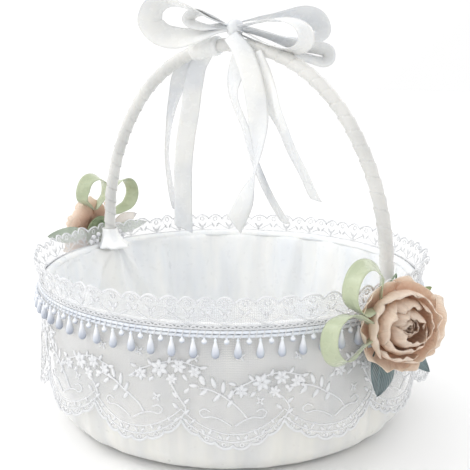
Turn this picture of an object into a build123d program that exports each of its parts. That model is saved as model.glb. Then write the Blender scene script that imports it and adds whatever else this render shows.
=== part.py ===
from build123d import *
from math import atan2, cos, degrees, hypot, radians, sin, tan
import os

# Flower girl basket. Millimetres, +Z up. The origin is the centre of the base, on the surface
# that the basket rests on. The handle stands over the X axis, and the two flowers are at its feet:
# the near flower at +X and the far flower at -X. The bow's tails hang each side of the handle.

# Bowl
rim_radius = 118.0
rim_height = 88.5
foot_radius = 110.0
corner_radius = 14.0
bowl_wall = 1.6
base_disc_radius = 94.0
base_disc_thickness = 1.5
base_height = 2.4

# Cloth on the bowl
cover_gap = 1.3
cover_thickness = 0.6
hem_radius = 84.0
lining_gap = 0.4
lining_thickness = 0.6
floor_card_thickness = 1.2
floor_card_margin = 14.0
binding_height = 1.9
binding_round = 0.8
layer_gap = 0.2

# Lace
lace_thickness = 0.6
skirt_low = 25.0
skirt_flare = 2.2
wave_count = 14
wave_radius = 37.0
collar_height = 15.8
collar_lean = 3.3

# Handle
handle_height = 232.0
handle_radius = 4.4
core_radius = 3.6
wrap_fit = 0.1
crown_factor = 1.19
leg_gap = 0.2
core_leg = 66.0
wrap_leg = 20.0
channel_gap = 0.6
tie_depths = (24.0, 50.0)
tie_width = 1.4
tie_thickness = 0.8
tie_fit = 0.3
tie_slot_fit = 0.15

# Pearl fringe
cord_radius = 1.0
cord_gap = 0.15
drop_radius = 2.3
drop_length = 10.0
bead_radius = 1.5
thread_radius = 0.4
thread_length = 1.3
bead_thread = 0.8
hang_gap = 0.4
drops_per_length = 4
length_count = 17
pinned_lengths = (8, 15, 16)
pinned_inset = 0.4

# Ribbons and bow
bow_ribbon = 12.5
green_ribbon = 9.5
ribbon_thickness = 0.5
knot_size = (9.0, 9.0, 10.0)
knot_centre = (4.5, -1.0)
knot_round = 3.0
band_start = 9.0
band_end = 29.5
band_thickness = 1.8
loop_root = 1.2

# Flowers
rose_tilt = 4.0
pad_radius = 13.0
pad_thickness = 1.2
flower_gap = 0.5
calyx_radius = 9.5
calyx_height = 3.4
petal_thickness = 0.6
petal_gap = 8.0
leaf_start = 13.4
loop_start = 17.3
loop_height = 3.6
wire_radius = 0.5
bead_spray_radius = 1.6
stem_radius = 0.4

# Worked out from the values above
wall_tilt = degrees(atan2(rim_radius - foot_radius, rim_height - base_height))
wall_slope = tan(radians(wall_tilt))
leg_x = rim_radius - bowl_wall - leg_gap - handle_radius / cos(radians(wall_tilt))
skirt_radius = rim_radius + cover_gap + cover_thickness + layer_gap
skirt_top = rim_height - layer_gap
cord_ring = skirt_radius + lace_thickness + cord_radius + cord_gap
cord_top_z = rim_height - layer_gap - cord_radius
cord_low_z = cord_top_z - 2 * cord_radius - 0.1
fringe_radius = skirt_radius + lace_thickness + hang_gap + drop_radius + 0.5
fringe_reach = fringe_radius + drop_radius
drop_count = drops_per_length * length_count
drop_pitch = 360 / drop_count

os.makedirs("parts", exist_ok=True)


def save(part, name):
    """Label a finished piece and write it under the same name."""
    part.label = name
    export_step(part, f"parts/{name}.step")


def bowl_section(grow, top):
    """Half section of the bowl's form, from its axis out, grown by an offset."""
    low = base_height - grow
    foot = foot_radius + wall_slope * (low - base_height) + grow
    brim = rim_radius + wall_slope * (top - rim_height) + grow
    with BuildSketch(Plane.XZ) as section:
        with BuildLine():
            Polyline((0, low), (foot, low), (brim, top), (0, top), close=True)
        make_face()
        corner = section.vertices().sort_by(Axis.Y)[:2].sort_by(Axis.X)[-1]
        fillet(corner, corner_radius + grow)
    return section.sketch


def leg_plane(side, depth):
    """Plane across a handle leg, depth below the rim, facing up the leg; side is 1 or -1."""
    x = leg_x - wall_slope * depth
    lean = (side * sin(radians(wall_tilt)), 0, cos(radians(wall_tilt)))
    return Plane(origin=(side * x, 0, rim_height - depth), x_dir=(0, side, 0), z_dir=lean)


def handle_route(leg_length):
    """Centre line of the handle: two legs along the wall, flank arcs and a crown arc."""
    lean = radians(wall_tilt)
    rise = handle_height - rim_height
    crown = crown_factor * leg_x**2 / rise
    drop = crown - rise
    flank = (leg_x**2 + drop**2 - crown**2) / (2 * (leg_x * cos(lean) - drop * sin(lean) - crown))
    flank_x = leg_x - flank * cos(lean)
    flank_z = rim_height + flank * sin(lean)
    crown_z = handle_height - crown
    toward = 1 if flank > crown else -1
    reach = hypot(flank_x, crown_z - flank_z)
    join_x = -toward * crown * flank_x / reach
    join_z = crown_z + toward * crown * (crown_z - flank_z) / reach
    foot = (leg_x - leg_length * sin(lean), rim_height - leg_length * cos(lean))
    with BuildLine(Plane.XZ) as route:
        Line(foot, (leg_x, rim_height))
        TangentArc((leg_x, rim_height), (join_x, join_z), tangent=(sin(lean), cos(lean)))
        RadiusArc((join_x, join_z), (0, handle_height), -crown)
        mirror(about=Plane.YZ)
    return route.line


def handle_sweep(route, outer, inner):
    """Round rod or tube swept along a handle centre line."""
    wire = Wire(route.edges())
    start = Plane(origin=wire @ 0, z_dir=wire % 0)
    with BuildPart() as rod:
        with BuildSketch(start) as section:
            Circle(outer)
            if inner:
                Circle(inner, mode=Mode.SUBTRACT)
        sweep(path=wire)
    return rod.part


def tie_ring(side, depth, grow):
    """Flat tie that goes round a handle leg and out through the wall, grown by an offset."""
    centre = leg_x - wall_slope * depth
    wall_face = rim_radius - wall_slope * depth
    half = core_radius + tie_fit
    reach = wall_face + layer_gap - centre
    height = tie_width + 2 * grow
    with BuildPart() as ring:
        with BuildSketch(Plane.XY.offset(rim_height - depth - height / 2)):
            for radius, mode in ((half + tie_thickness + grow, Mode.ADD), (half - grow, Mode.SUBTRACT)):
                end = reach + radius - half
                with BuildLine():
                    Polyline(
                        (side * centre, radius),
                        (side * (centre + end), radius),
                        (side * (centre + end), -radius),
                        (side * centre, -radius),
                    )
                    ThreePointArc(
                        (side * centre, -radius),
                        (side * (centre - radius), 0),
                        (side * centre, radius),
                    )
                make_face(mode=mode)
        extrude(amount=height)
    return ring.part


# Base disc, under the bowl and its gathered hem
with BuildPart() as base_disc:
    Cylinder(base_disc_radius, base_disc_thickness, align=(Align.CENTER, Align.CENTER, Align.MIN))
    fillet(base_disc.edges(), 0.4)
save(base_disc.part, "base_disc")

# Stiff bowl, slotted for the four handle ties
bowl_outer = bowl_section(0, rim_height)
bowl_inner = bowl_section(-bowl_wall, rim_height + 1)
slots = [tie_ring(side, depth, tie_slot_fit) for side in (1, -1) for depth in tie_depths]
with BuildPart() as bowl_shell:
    revolve(bowl_outer, axis=Axis.Z)
    revolve(bowl_inner, axis=Axis.Z, mode=Mode.SUBTRACT)
    for slot in slots:
        add(slot, mode=Mode.SUBTRACT)
save(bowl_shell.part, "bowl_shell")

# Outer cover: a sleeve outside the bowl, turned under as a hem above the base disc
cover_outer = bowl_section(cover_gap + cover_thickness, rim_height)
cover_inner = bowl_section(cover_gap, rim_height + 1)
hem_low = base_disc_thickness + 0.1
with BuildPart() as outer_cover:
    revolve(cover_outer, axis=Axis.Z)
    revolve(cover_inner, axis=Axis.Z, mode=Mode.SUBTRACT)
    with BuildSketch(Plane.XY.offset(-cover_gap)):
        Circle(2 * rim_radius)
    extrude(amount=cover_gap + hem_low, mode=Mode.SUBTRACT)
    with BuildSketch(Plane.XY.offset(hem_low)):
        Circle(foot_radius)
        Circle(hem_radius, mode=Mode.SUBTRACT)
    extrude(amount=cover_thickness)
    revolve(bowl_section(layer_gap, rim_height + 1), axis=Axis.Z, mode=Mode.SUBTRACT)
    revolve(cover_outer, axis=Axis.Z, mode=Mode.INTERSECT)
save(outer_cover.part, "outer_cover")

# Handle ties, four alike
with BuildPart() as handle_ties:
    for side in (1, -1):
        for depth in tie_depths:
            add(tie_ring(side, depth, 0))
save(handle_ties.part, "handle_ties")

# Handle core and the ribbon wound on it
save(handle_sweep(handle_route(core_leg), core_radius, 0), "handle_core")
save(handle_sweep(handle_route(wrap_leg), handle_radius, core_radius + wrap_fit), "handle_wrap")

# Lining: a sleeve inside the bowl with a channel over each handle leg
lining_skin = bowl_wall + lining_gap
channel_radius = max(core_radius + tie_fit + tie_thickness, handle_radius) + channel_gap
lining_outer = bowl_section(-lining_skin, rim_height)
lining_inner = bowl_section(-lining_skin - lining_thickness, rim_height + 1)
with BuildPart() as lining:
    revolve(lining_outer, axis=Axis.Z)
    revolve(lining_inner, axis=Axis.Z, mode=Mode.SUBTRACT)
    for side in (1, -1):
        with BuildSketch(leg_plane(side, core_leg + 4)):
            Circle(channel_radius + lining_thickness)
        extrude(amount=core_leg + 20)
    revolve(lining_outer, axis=Axis.Z, mode=Mode.INTERSECT)
    for side in (1, -1):
        with BuildSketch(leg_plane(side, core_leg + 4 - lining_thickness)):
            Circle(channel_radius)
        extrude(amount=core_leg + 20, mode=Mode.SUBTRACT)
    for slot in slots:
        add(slot, mode=Mode.SUBTRACT)
save(lining.part, "lining")

# Floor card, covered with satin, lying on the lining's floor
floor_card_radius = foot_radius - bowl_wall - floor_card_margin
card_low = base_height + bowl_wall + lining_gap + lining_thickness + 0.1
with BuildPart() as floor_card:
    with Locations((0, 0, card_low)):
        Cylinder(
            floor_card_radius,
            floor_card_thickness,
            align=(Align.CENTER, Align.CENTER, Align.MIN),
        )
    fillet(floor_card.edges(), 0.4)
save(floor_card.part, "floor_card")

# Rim binding: a satin roll on top of the wall, cut away at the handle legs
with BuildPart() as rim_binding:
    with BuildSketch(Plane.XZ) as roll:
        inner_edge = rim_radius - bowl_wall - lining_gap - lining_thickness
        outer_edge = rim_radius + cover_gap + cover_thickness - 0.1
        with Locations(((inner_edge + outer_edge) / 2, rim_height + 0.1 + binding_height / 2)):
            Rectangle(outer_edge - inner_edge, binding_height)
        fillet(roll.vertices().group_by(Axis.Y)[-1], binding_round)
    revolve(axis=Axis.Z)
    for side in (1, -1):
        with BuildSketch(leg_plane(side, 5)):
            Circle(handle_radius + layer_gap)
        extrude(amount=10 + binding_height, mode=Mode.SUBTRACT)
save(rim_binding.part, "rim_binding")

# Lace skirt: a flared sleeve whose lower edge is a row of round waves
skirt_edge = skirt_radius + skirt_flare
wave_centre = skirt_low + wave_radius
with BuildPart() as wave_cutter:
    with BuildSketch(Plane.XY.offset(skirt_low - 1)):
        Circle(skirt_edge + 10)
        Circle(skirt_radius - 5, mode=Mode.SUBTRACT)
    extrude(amount=wave_centre - skirt_low)
    for index in range(wave_count):
        heading = 360 * index / wave_count
        outward = (cos(radians(heading)), sin(radians(heading)), 0)
        with BuildSketch(Plane(origin=(0, 0, wave_centre), z_dir=outward)):
            Circle(wave_radius)
        extrude(amount=2 * skirt_edge, mode=Mode.SUBTRACT)
with BuildPart() as lace_skirt:
    with BuildSketch(Plane.XZ):
        with BuildLine():
            Polyline(
                (skirt_radius, skirt_top),
                (skirt_radius + lace_thickness, skirt_top),
                (skirt_edge + lace_thickness, skirt_low),
                (skirt_edge, skirt_low),
                close=True,
            )
        make_face()
    revolve(axis=Axis.Z)
    add(wave_cutter.part, mode=Mode.SUBTRACT)
save(lace_skirt.part, "lace_skirt")

# Lace collar, standing on the skirt's heading and leaning out
collar_low = skirt_top + layer_gap
with BuildPart() as lace_collar:
    with BuildSketch(Plane.XZ):
        with BuildLine():
            Polyline(
                (skirt_radius, collar_low),
                (skirt_radius + lace_thickness, collar_low),
                (skirt_radius + lace_thickness + collar_lean, collar_low + collar_height),
                (skirt_radius + collar_lean, collar_low + collar_height),
                close=True,
            )
        make_face()
    revolve(axis=Axis.Z)
save(lace_collar.part, "lace_collar")

# The two cords of the fringe's heading
for name, height in (("trim_cord_upper", cord_top_z), ("trim_cord_lower", cord_low_z)):
    with BuildPart() as trim_cord:
        with BuildSketch(Plane.XZ):
            with Locations((cord_ring, height)):
                Circle(cord_radius)
        revolve(axis=Axis.Z)
    save(trim_cord.part, name)

# One teardrop pearl and one round bead, each with the thread that it hangs by
drop_low = cord_low_z - thread_length - drop_length
with BuildPart() as pearl_drop:
    with BuildSketch(Plane.XZ) as half_drop:
        with Locations((0, drop_low + drop_radius)):
            Circle(drop_radius)
        with Locations((0, drop_low + drop_length - thread_radius)):
            Circle(thread_radius)
        make_hull()
        with Locations((0, cord_low_z - (thread_length + 1) / 2)):
            Rectangle(2 * thread_radius, thread_length + 1)
        with Locations((-drop_radius, cord_low_z - drop_length)):
            Rectangle(2 * drop_radius, 3 * drop_length, mode=Mode.SUBTRACT)
    revolve(axis=Axis.Z)
with BuildPart() as pearl_bead:
    with Locations((0, 0, cord_low_z - bead_thread - bead_radius)):
        Sphere(bead_radius)
    with Locations((0, 0, cord_low_z)):
        Cylinder(
            thread_radius,
            bead_thread + bead_radius,
            align=(Align.CENTER, Align.CENTER, Align.MAX),
        )


def fringe(length_indices, radius):
    """Drops and beads of one or more lengths of the fringe, round the rim at a radius."""
    with BuildPart() as pearls:
        for length_index in length_indices:
            for index in range(drops_per_length):
                place = (length_index * drops_per_length + index + 0.5) * drop_pitch
                with PolarLocations(radius, 1, start_angle=place):
                    add(pearl_drop.part)
                with PolarLocations(radius, 1, start_angle=place + drop_pitch / 2):
                    add(pearl_bead.part)
    return pearls.part


save(fringe(pinned_lengths, fringe_radius - pinned_inset), "pearl_fringe_pinned")
for length_index in range(length_count):
    if length_index not in pinned_lengths:
        save(fringe([length_index], fringe_radius), f"pearl_fringe_{length_index:02d}")

# Bow knot on top of the handle, and the ribbon wound round the handle beside it
knot_low = handle_height + handle_radius + layer_gap
with BuildPart() as bow_knot:
    with BuildSketch(Plane.XY.offset(knot_low)):
        with Locations(knot_centre):
            RectangleRounded(knot_size[0], knot_size[1], knot_round)
    extrude(amount=knot_size[2])
    fillet(bow_knot.edges().group_by(Axis.Z)[-1], knot_round / 2)
save(bow_knot.part, "bow_knot")

crown_radius = crown_factor * leg_x**2 / (handle_height - rim_height)
crown_axis = Axis((0, 0, handle_height - crown_radius), (0, -1, 0))
band_turn = degrees(band_start / crown_radius)
with BuildPart() as bow_band:
    with BuildSketch(Plane.YZ):
        with Locations((0, handle_height)):
            Circle(handle_radius + layer_gap + band_thickness)
            Circle(handle_radius + layer_gap, mode=Mode.SUBTRACT)
    revolve(axis=crown_axis, revolution_arc=degrees((band_end - band_start) / crown_radius))
band_part = bow_band.part.rotate(crown_axis, band_turn)
save(band_part, "bow_band")


def ribbon_loop(plane, reach, end_radius, width):
    """Loop of flat ribbon from the plane's origin out along its x; the plane faces along the width."""
    with BuildPart() as loop:
        with BuildSketch(plane):
            with Locations((loop_root, 0)):
                Circle(loop_root)
            with Locations((reach - end_radius, 0)):
                Circle(end_radius)
            make_hull()
            offset(amount=-ribbon_thickness, mode=Mode.SUBTRACT)
        extrude(amount=width / 2, both=True)
    return loop.part


def bow_plane(heading, start, height, climb):
    """Upright plane of a bow loop that leaves the knot at a heading and climbs by an angle."""
    along = Vector(cos(radians(heading)), sin(radians(heading)), 0)
    across = Vector(-sin(radians(heading)), cos(radians(heading)), 0)
    centre = Vector(knot_centre[0], knot_centre[1], handle_height + height)
    reach_dir = along.rotate(Axis((0, 0, 0), across), -climb)
    return Plane(origin=centre + along * start, x_dir=reach_dir, z_dir=across)


# name, heading, start from the knot's centre, height over the handle, climb, reach, end radius
bow_loops = (
    ("bow_loop_left_large", 200, 5.8, 9.0, 8, 55, 13.0),
    ("bow_loop_left_small", 200, 10.8, 9.7, 9, 24, 5.5),
    ("bow_loop_right_top", 62, 7.0, 13.6, 2, 53, 9.0),
    ("bow_loop_right_front", -2, 5.8, 10.2, -5, 47, 9.0),
    ("bow_loop_right_low", 42, 6.2, 5.6, -11, 54, 5.5),
)
for name, heading, start, height, climb, reach, end_radius in bow_loops:
    loop_plane = bow_plane(heading, start, height, climb)
    save(ribbon_loop(loop_plane, reach, end_radius, bow_ribbon), name)


def hanging_ribbon(stations):
    """Flat ribbon through (x, y, z, heading of its width) stations, from its tied end down."""
    points = [Vector(x, y, z) for x, y, z, heading in stations]
    last = len(points) - 1
    with BuildPart() as tail:
        for index, station in enumerate(stations):
            turn = radians(station[3])
            along = points[min(index + 1, last)] - points[max(index - 1, 0)]
            across = Vector(cos(turn), sin(turn), 0)
            with BuildSketch(Plane(origin=points[index], x_dir=across, z_dir=along)):
                Rectangle(bow_ribbon, ribbon_thickness)
        loft(ruled=True)
    return tail.part


# Each tail's stations, for a handle of the reference height
tail_a = (
    (-29, 9.6, 227, 6),
    (-41, 10.8, 222, 20),
    (-51, 11.5, 213, 60),
    (-58, 13, 199, 95),
    (-63, 13, 182, 112),
    (-65.5, 13, 160, 118),
    (-64, 13, 141, 118),
    (-57, 13, 118, 112),
)
tail_b = (
    (-25, 8.0, 228, 6),
    (-35, 8.9, 218, 25),
    (-39.5, 9.4, 204, 38),
    (-43, 9.6, 182, 38),
    (-47.5, 9.6, 158, 38),
    (-48.8, 9.6, 134, 38),
    (-48.7, 9.6, 108, 38),
)
tail_c = (
    (11.5, -5.4, 228, 8),
    (9.5, -7.4, 216, 0),
    (8.5, -8.6, 205, -25),
    (11, -8.6, 196, -32),
    (18, -8.6, 182, -32),
    (24, -8.6, 165, -32),
    (34, -8.6, 146, -30),
    (48, -8.6, 127, -30),
)
tail_d = (
    (7, -8.8, 237.2, 16),
    (17, -12, 230, 30),
    (25, -14.5, 219, 36),
    (31, -17, 206, 34),
    (35, -18.5, 190, 20),
    (35.5, -19.5, 174, -20),
    (33, -19.5, 158, -50),
    (26, -19.5, 139, 0),
    (18, -19.5, 124, 15),
)
tail_e = (
    (23.5, -6.4, 227, 4),
    (28.5, -8.6, 217, 15),
    (36, -10.5, 204, 0),
    (45, -12.5, 189, -25),
    (56, -13.5, 170, -30),
    (73, -14, 144, -30),
)
tails = {
    "bow_tail_a": tail_a,
    "bow_tail_b": tail_b,
    "bow_tail_c": tail_c,
    "bow_tail_d": tail_d,
    "bow_tail_e": tail_e,
}
tail_reference = 232.0
for name, stations in tails.items():
    lift = handle_height - tail_reference
    raised = [(x, y, z + lift, heading) for x, y, z, heading in stations]
    save(hanging_ribbon(raised), name)


def rose_frame(heading, height):
    """Plane of a rose's pad, against the fringe, facing out at a heading with a slight tilt up."""
    out = Vector(cos(radians(heading)), sin(radians(heading)), 0)
    across = Vector(-sin(radians(heading)), cos(radians(heading)), 0)
    facing = out.rotate(Axis((0, 0, 0), across), -rose_tilt)
    away = fringe_reach + flower_gap + pad_thickness + pad_radius * sin(radians(rose_tilt))
    return Plane(origin=out * away + Vector(0, 0, height), x_dir=across, z_dir=facing)


def in_frame(frame, x, y, z):
    """Point given in a plane's own coordinates."""
    return frame.origin + frame.x_dir * x + frame.y_dir * y + frame.z_dir * z


def petal_ring(frame, count, turn, root, belly, tip):
    """Ring of cupped petals, each a part turn of a thin arc about the rose's axis."""
    thick = Vector(petal_thickness, 0)
    inner = [Vector(*point) for point in (root, belly, tip)]
    outer = [point + thick for point in inner]
    with BuildPart() as ring:
        for index in range(count):
            spin = Axis((0, 0, 0), frame.z_dir)
            side = frame.x_dir.rotate(spin, turn + 360 * index / count)
            with BuildSketch(Plane(origin=frame.origin, x_dir=side, z_dir=side.cross(frame.z_dir))):
                with BuildLine():
                    ThreePointArc(*inner)
                    ThreePointArc(*outer)
                    Line(inner[0], outer[0])
                    Line(inner[-1], outer[-1])
                make_face()
            revolve(axis=Axis(frame.origin, frame.z_dir), revolution_arc=360 / count - petal_gap)
    return ring.part


def rose(prefix, frame):
    """Rose at a plane: pad with its calyx, outer and inner petals and a rolled bud."""
    with BuildPart() as pad:
        with BuildSketch(frame):
            Circle(pad_radius)
        extrude(amount=-pad_thickness)
        with BuildSketch(frame):
            Circle(calyx_radius)
        extrude(amount=calyx_height)
    save(pad.part, f"{prefix}_rose_pad")
    low = calyx_height + layer_gap
    with BuildPart() as outer_petals:
        add(petal_ring(frame, 5, 0, (8.5, low), (17.0, low + 5), (23.4, low + 14.5)))
        add(petal_ring(frame, 5, 36, (6.8, low), (13.0, low + 7), (17.0, low + 17)))
    save(outer_petals.part, f"{prefix}_rose_outer_petals")
    with BuildPart() as inner_petals:
        add(petal_ring(frame, 4, 10, (5.2, low), (9.6, low + 8), (11.8, low + 18)))
        add(petal_ring(frame, 3, 50, (3.8, low), (6.6, low + 9), (7.2, low + 18.5)))
    save(inner_petals.part, f"{prefix}_rose_inner_petals")
    with BuildPart() as bud:
        for rise, radius in ((0, 2.4), (9, 4.6), (17, 3.0)):
            with BuildSketch(frame.offset(low + rise)):
                Circle(radius)
        loft(ruled=True)
    save(bud.part, f"{prefix}_rose_bud")


def leaf(frame, start, heading, length, width, lean):
    """Pointed leaf from the pad's edge, at a heading in the frame, leaning off it."""
    turn = radians(heading)
    base = in_frame(frame, leaf_start * cos(turn), leaf_start * sin(turn), start)
    along = (frame.x_dir * cos(turn) + frame.y_dir * sin(turn)).normalized()
    across = frame.z_dir.cross(along)
    tipped = along.rotate(Axis((0, 0, 0), across), -lean)
    with BuildPart() as blade:
        with BuildSketch(Plane(origin=base, x_dir=tipped, z_dir=tipped.cross(across))):
            with BuildLine():
                ThreePointArc((0, 0), (0.45 * length, width / 2), (length, 0))
                ThreePointArc((0, 0), (0.45 * length, -width / 2), (length, 0))
            make_face()
        extrude(amount=petal_thickness)
    return blade.part


def flower_loop(frame, heading, reach, end_radius):
    """Green ribbon loop that leaves a rose under its petals at a heading in the rose's frame."""
    turn = radians(heading)
    start = in_frame(frame, loop_start * cos(turn), loop_start * sin(turn), loop_height)
    along = (frame.x_dir * cos(turn) + frame.y_dir * sin(turn)).normalized()
    return ribbon_loop(Plane(start, along, frame.z_dir), reach, end_radius, green_ribbon)


def tie_wire(frame, side, pad_x, pad_y):
    """Wire from the handle's foot over the lace collar to the back of a rose's pad."""
    collar_top = collar_low + collar_height
    back = in_frame(frame, pad_x, pad_y, -pad_thickness - wire_radius - 0.1)
    outside = skirt_radius + lace_thickness + collar_lean + wire_radius + 0.5
    over = collar_top + wire_radius + 0.4
    hold = leg_x + wall_slope * (over - rim_height) + handle_radius + wire_radius + layer_gap
    turn = atan2(back.Y, back.X)
    points = (
        (side * hold, 0, over - 5),
        (side * hold, 0, over),
        (outside * cos(turn), outside * sin(turn), over),
        (back.X, back.Y, back.Z),
    )
    with BuildPart() as wire:
        with BuildLine() as route:
            FilletPolyline(*points, radius=1.6)
        with BuildSketch(Plane(origin=route.line @ 0, z_dir=route.line % 0)):
            Circle(wire_radius)
        sweep(path=route.line)
    return wire.part


near = rose_frame(-10, 84)
rose("near", near)
save(flower_loop(near, 134, 29.5, 14.0), "near_loop_upper")
save(flower_loop(near, 180, 37.0, 13.5), "near_loop_lower")
with BuildPart() as near_leaves:
    add(leaf(near, -0.9, -125, 24, 13, 4))
    add(leaf(near, -0.9, -52, 29, 10, 12))
    add(leaf(near, -0.9, 20, 25, 10, 0))
save(near_leaves.part, "near_leaves")
save(tie_wire(near, 1, 4, 9.5), "near_tie_wire")

far = rose_frame(178, 96)
rose("far", far)
save(flower_loop(far, 84, 25.8, 12.0), "far_loop_left")
save(flower_loop(far, 136, 32.0, 12.0), "far_loop_right")
with BuildPart() as far_leaves:
    add(leaf(far, -0.9, 5, 33, 12, 0))
    add(leaf(far, -0.9, 180, 39, 9, 0))
save(far_leaves.part, "far_leaves")
save(leaf(far, 0.2, 170, 31, 10, 6), "far_organza")
save(tie_wire(far, -1, 0, 9.5), "far_tie_wire")

# Spray of small beads on wire stems, standing on the rim each side of the far handle foot
spray_low = rim_height + 0.1 + binding_height + 0.1
spray = ((-15, 3.2), (-12, 6.4), (-9, 3.0), (-7, 7.6), (8, 7.0), (11, 3.2), (14, 6.6), (17, 3.4))
spray_ring = rim_radius - 0.2
with BuildPart() as far_bead_spray:
    for across, rise in spray:
        turn = 180 - degrees(across / spray_ring)
        with PolarLocations(spray_ring, 1, start_angle=turn):
            with Locations((0, 0, spray_low + rise)):
                Sphere(bead_spray_radius)
            with Locations((0, 0, spray_low)):
                Cylinder(stem_radius, rise, align=(Align.CENTER, Align.CENTER, Align.MIN))
save(far_bead_spray.part, "far_bead_spray")
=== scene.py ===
import math

import bpy
import numpy as np
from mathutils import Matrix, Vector


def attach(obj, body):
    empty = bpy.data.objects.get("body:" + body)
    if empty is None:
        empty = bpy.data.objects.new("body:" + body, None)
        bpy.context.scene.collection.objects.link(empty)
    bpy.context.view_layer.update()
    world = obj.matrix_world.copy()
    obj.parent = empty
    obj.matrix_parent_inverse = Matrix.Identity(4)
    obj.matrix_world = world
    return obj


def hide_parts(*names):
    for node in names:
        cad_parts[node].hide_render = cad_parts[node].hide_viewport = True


# Flower girl basket: satin bowl, lace skirt and collar, pearl fringe, wound handle, bow and roses.
# Lengths are in millimetres until make_object() turns them into metres.

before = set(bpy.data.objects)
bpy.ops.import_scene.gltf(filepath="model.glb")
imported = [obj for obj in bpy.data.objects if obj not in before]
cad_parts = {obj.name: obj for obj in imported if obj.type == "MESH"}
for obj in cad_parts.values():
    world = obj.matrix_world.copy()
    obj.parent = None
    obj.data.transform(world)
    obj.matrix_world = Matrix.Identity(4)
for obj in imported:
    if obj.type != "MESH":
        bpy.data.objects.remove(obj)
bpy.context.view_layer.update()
MM = 0.001
TAU = 2 * math.pi

# The bowl, in the CAD's values
RIM_R = 118.0
RIM_Z = 88.5
FOOT_R = 110.0
FLOOR_Z = 2.4
CORNER_R = 14.0
SLOPE = (RIM_R - FOOT_R) / (RIM_Z - FLOOR_Z)
TILT = math.atan(SLOPE)
WALL = 1.6
# The lining: the radius its folds are laid out on, and where its wall begins
FOLD_R = 112
WALL_FROM = 99

# The handle
HANDLE_TOP = 232.0
HANDLE_R = 4.4
LEG_X = RIM_R - WALL - 0.2 - HANDLE_R / math.cos(TILT)
CROWN_R = 1.19 * LEG_X ** 2 / (HANDLE_TOP - RIM_Z)
RIBBON = 12.5

# The lace: its radius at the rim, the radius its work is laid out on, and its repeats
SKIRT_R = 120.1
LACE_R = 121
SKIRT_TOP = 88.3
WAVES = 14
COLLAR_LOW = 88.6
SCALLOPS = 72

# The pearl trim
CORD_R = 121.85
CORD_TOP = 87.3
CORD_LOW = 85.2
FRINGE_R = 123.9
FRINGE_REACH = 126.2
PINNED_R = 123.5
LENGTHS = 17
PINNED = (8, 15, 16)
DROPS = 4 * LENGTHS
DROP_TALL = 10.0
BEAD_R = 1.5

# The pads behind the roses, and the green ribbon
PAD_GAP = 0.5
PAD_THICK = 1.2
PAD_R = 13.0
GREEN_RIBBON = 10.2


# ---------------------------------------------------------------- mesh helpers

def unit(vectors):
    return vectors / np.linalg.norm(vectors, axis=-1, keepdims=True)


def circle(count):
    """Angles evenly round a circle."""
    return np.arange(count) * TAU / count


def polar(r, theta, z):
    """Points at radius r, angle theta and height z."""
    return np.stack(np.broadcast_arrays(r * np.cos(theta), r * np.sin(theta), z), -1)


def from_heading(theta, heading):
    """Angles measured from a heading, between minus and plus half a turn."""
    return (theta - heading + math.pi) % TAU - math.pi


def lapped(index):
    """A grid with its first column repeated at its end."""
    return np.concatenate([index, index[:, :1]], 1)


def corners(grid):
    """The four corners of each cell of a grid, in order round the cell."""
    return np.stack([grid[:-1, :-1], grid[:-1, 1:], grid[1:, 1:], grid[1:, :-1]], 2)


def even_uv(rows, cols):
    return np.stack(np.meshgrid(np.linspace(0, 1, cols), np.linspace(0, 1, rows)), -1)


def run_length(points):
    return float(np.linalg.norm(np.diff(points, axis=0), axis=1).sum())


class Batch:
    """Collects faces of many small shapes into one mesh."""

    def __init__(self):
        self.verts = []
        self.faces = []
        self.uvs = []
        self.count = 0

    def add(self, verts, faces, uvs):
        verts = np.asarray(verts, float)
        self.verts.append(verts)
        self.faces.extend([[i + self.count for i in face] for face in faces])
        self.uvs.extend(uvs)
        self.count += len(verts)

    def build(self, name, material, body, slot=None, replaces=()):
        return make_object(
            name, np.concatenate(self.verts), self.faces, self.uvs, material, body, slot, replaces
        )


def make_object(name, verts, faces, uvs, material, body, slot=None, replaces=()):
    """One piece in metres, riding on a body, in place of the CAD nodes it replaces. Its slot is not used."""
    mesh = bpy.data.meshes.new(name)
    mesh.from_pydata((np.asarray(verts) * MM).tolist(), [], faces)
    layer = mesh.uv_layers.new(name="UVMap")
    flat = np.array([pair for face in uvs for pair in face], np.float32)
    layer.data.foreach_set("uv", flat.reshape(-1))
    mesh.polygons.foreach_set("use_smooth", [True] * len(mesh.polygons))
    mesh.materials.append(material)
    mesh.update()
    obj = bpy.data.objects.new(name, mesh)
    bpy.context.scene.collection.objects.link(obj)
    if body:
        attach(obj, body)
    if replaces:
        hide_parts(*replaces)
    return obj


def lengths_uv(grid, wrap):
    """UV of a grid in units of 10 mm, from the lengths along its rows and columns."""
    full = lapped(grid) if wrap else grid
    across = np.linalg.norm(np.diff(full, axis=1), axis=2).mean(0)
    down = np.linalg.norm(np.diff(full, axis=0), axis=2).mean(1)
    u = np.concatenate([[0], np.cumsum(across)]) / 10
    v = np.concatenate([[0], np.cumsum(down)]) / 10
    return np.stack(np.meshgrid(u, v), -1)


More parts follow.
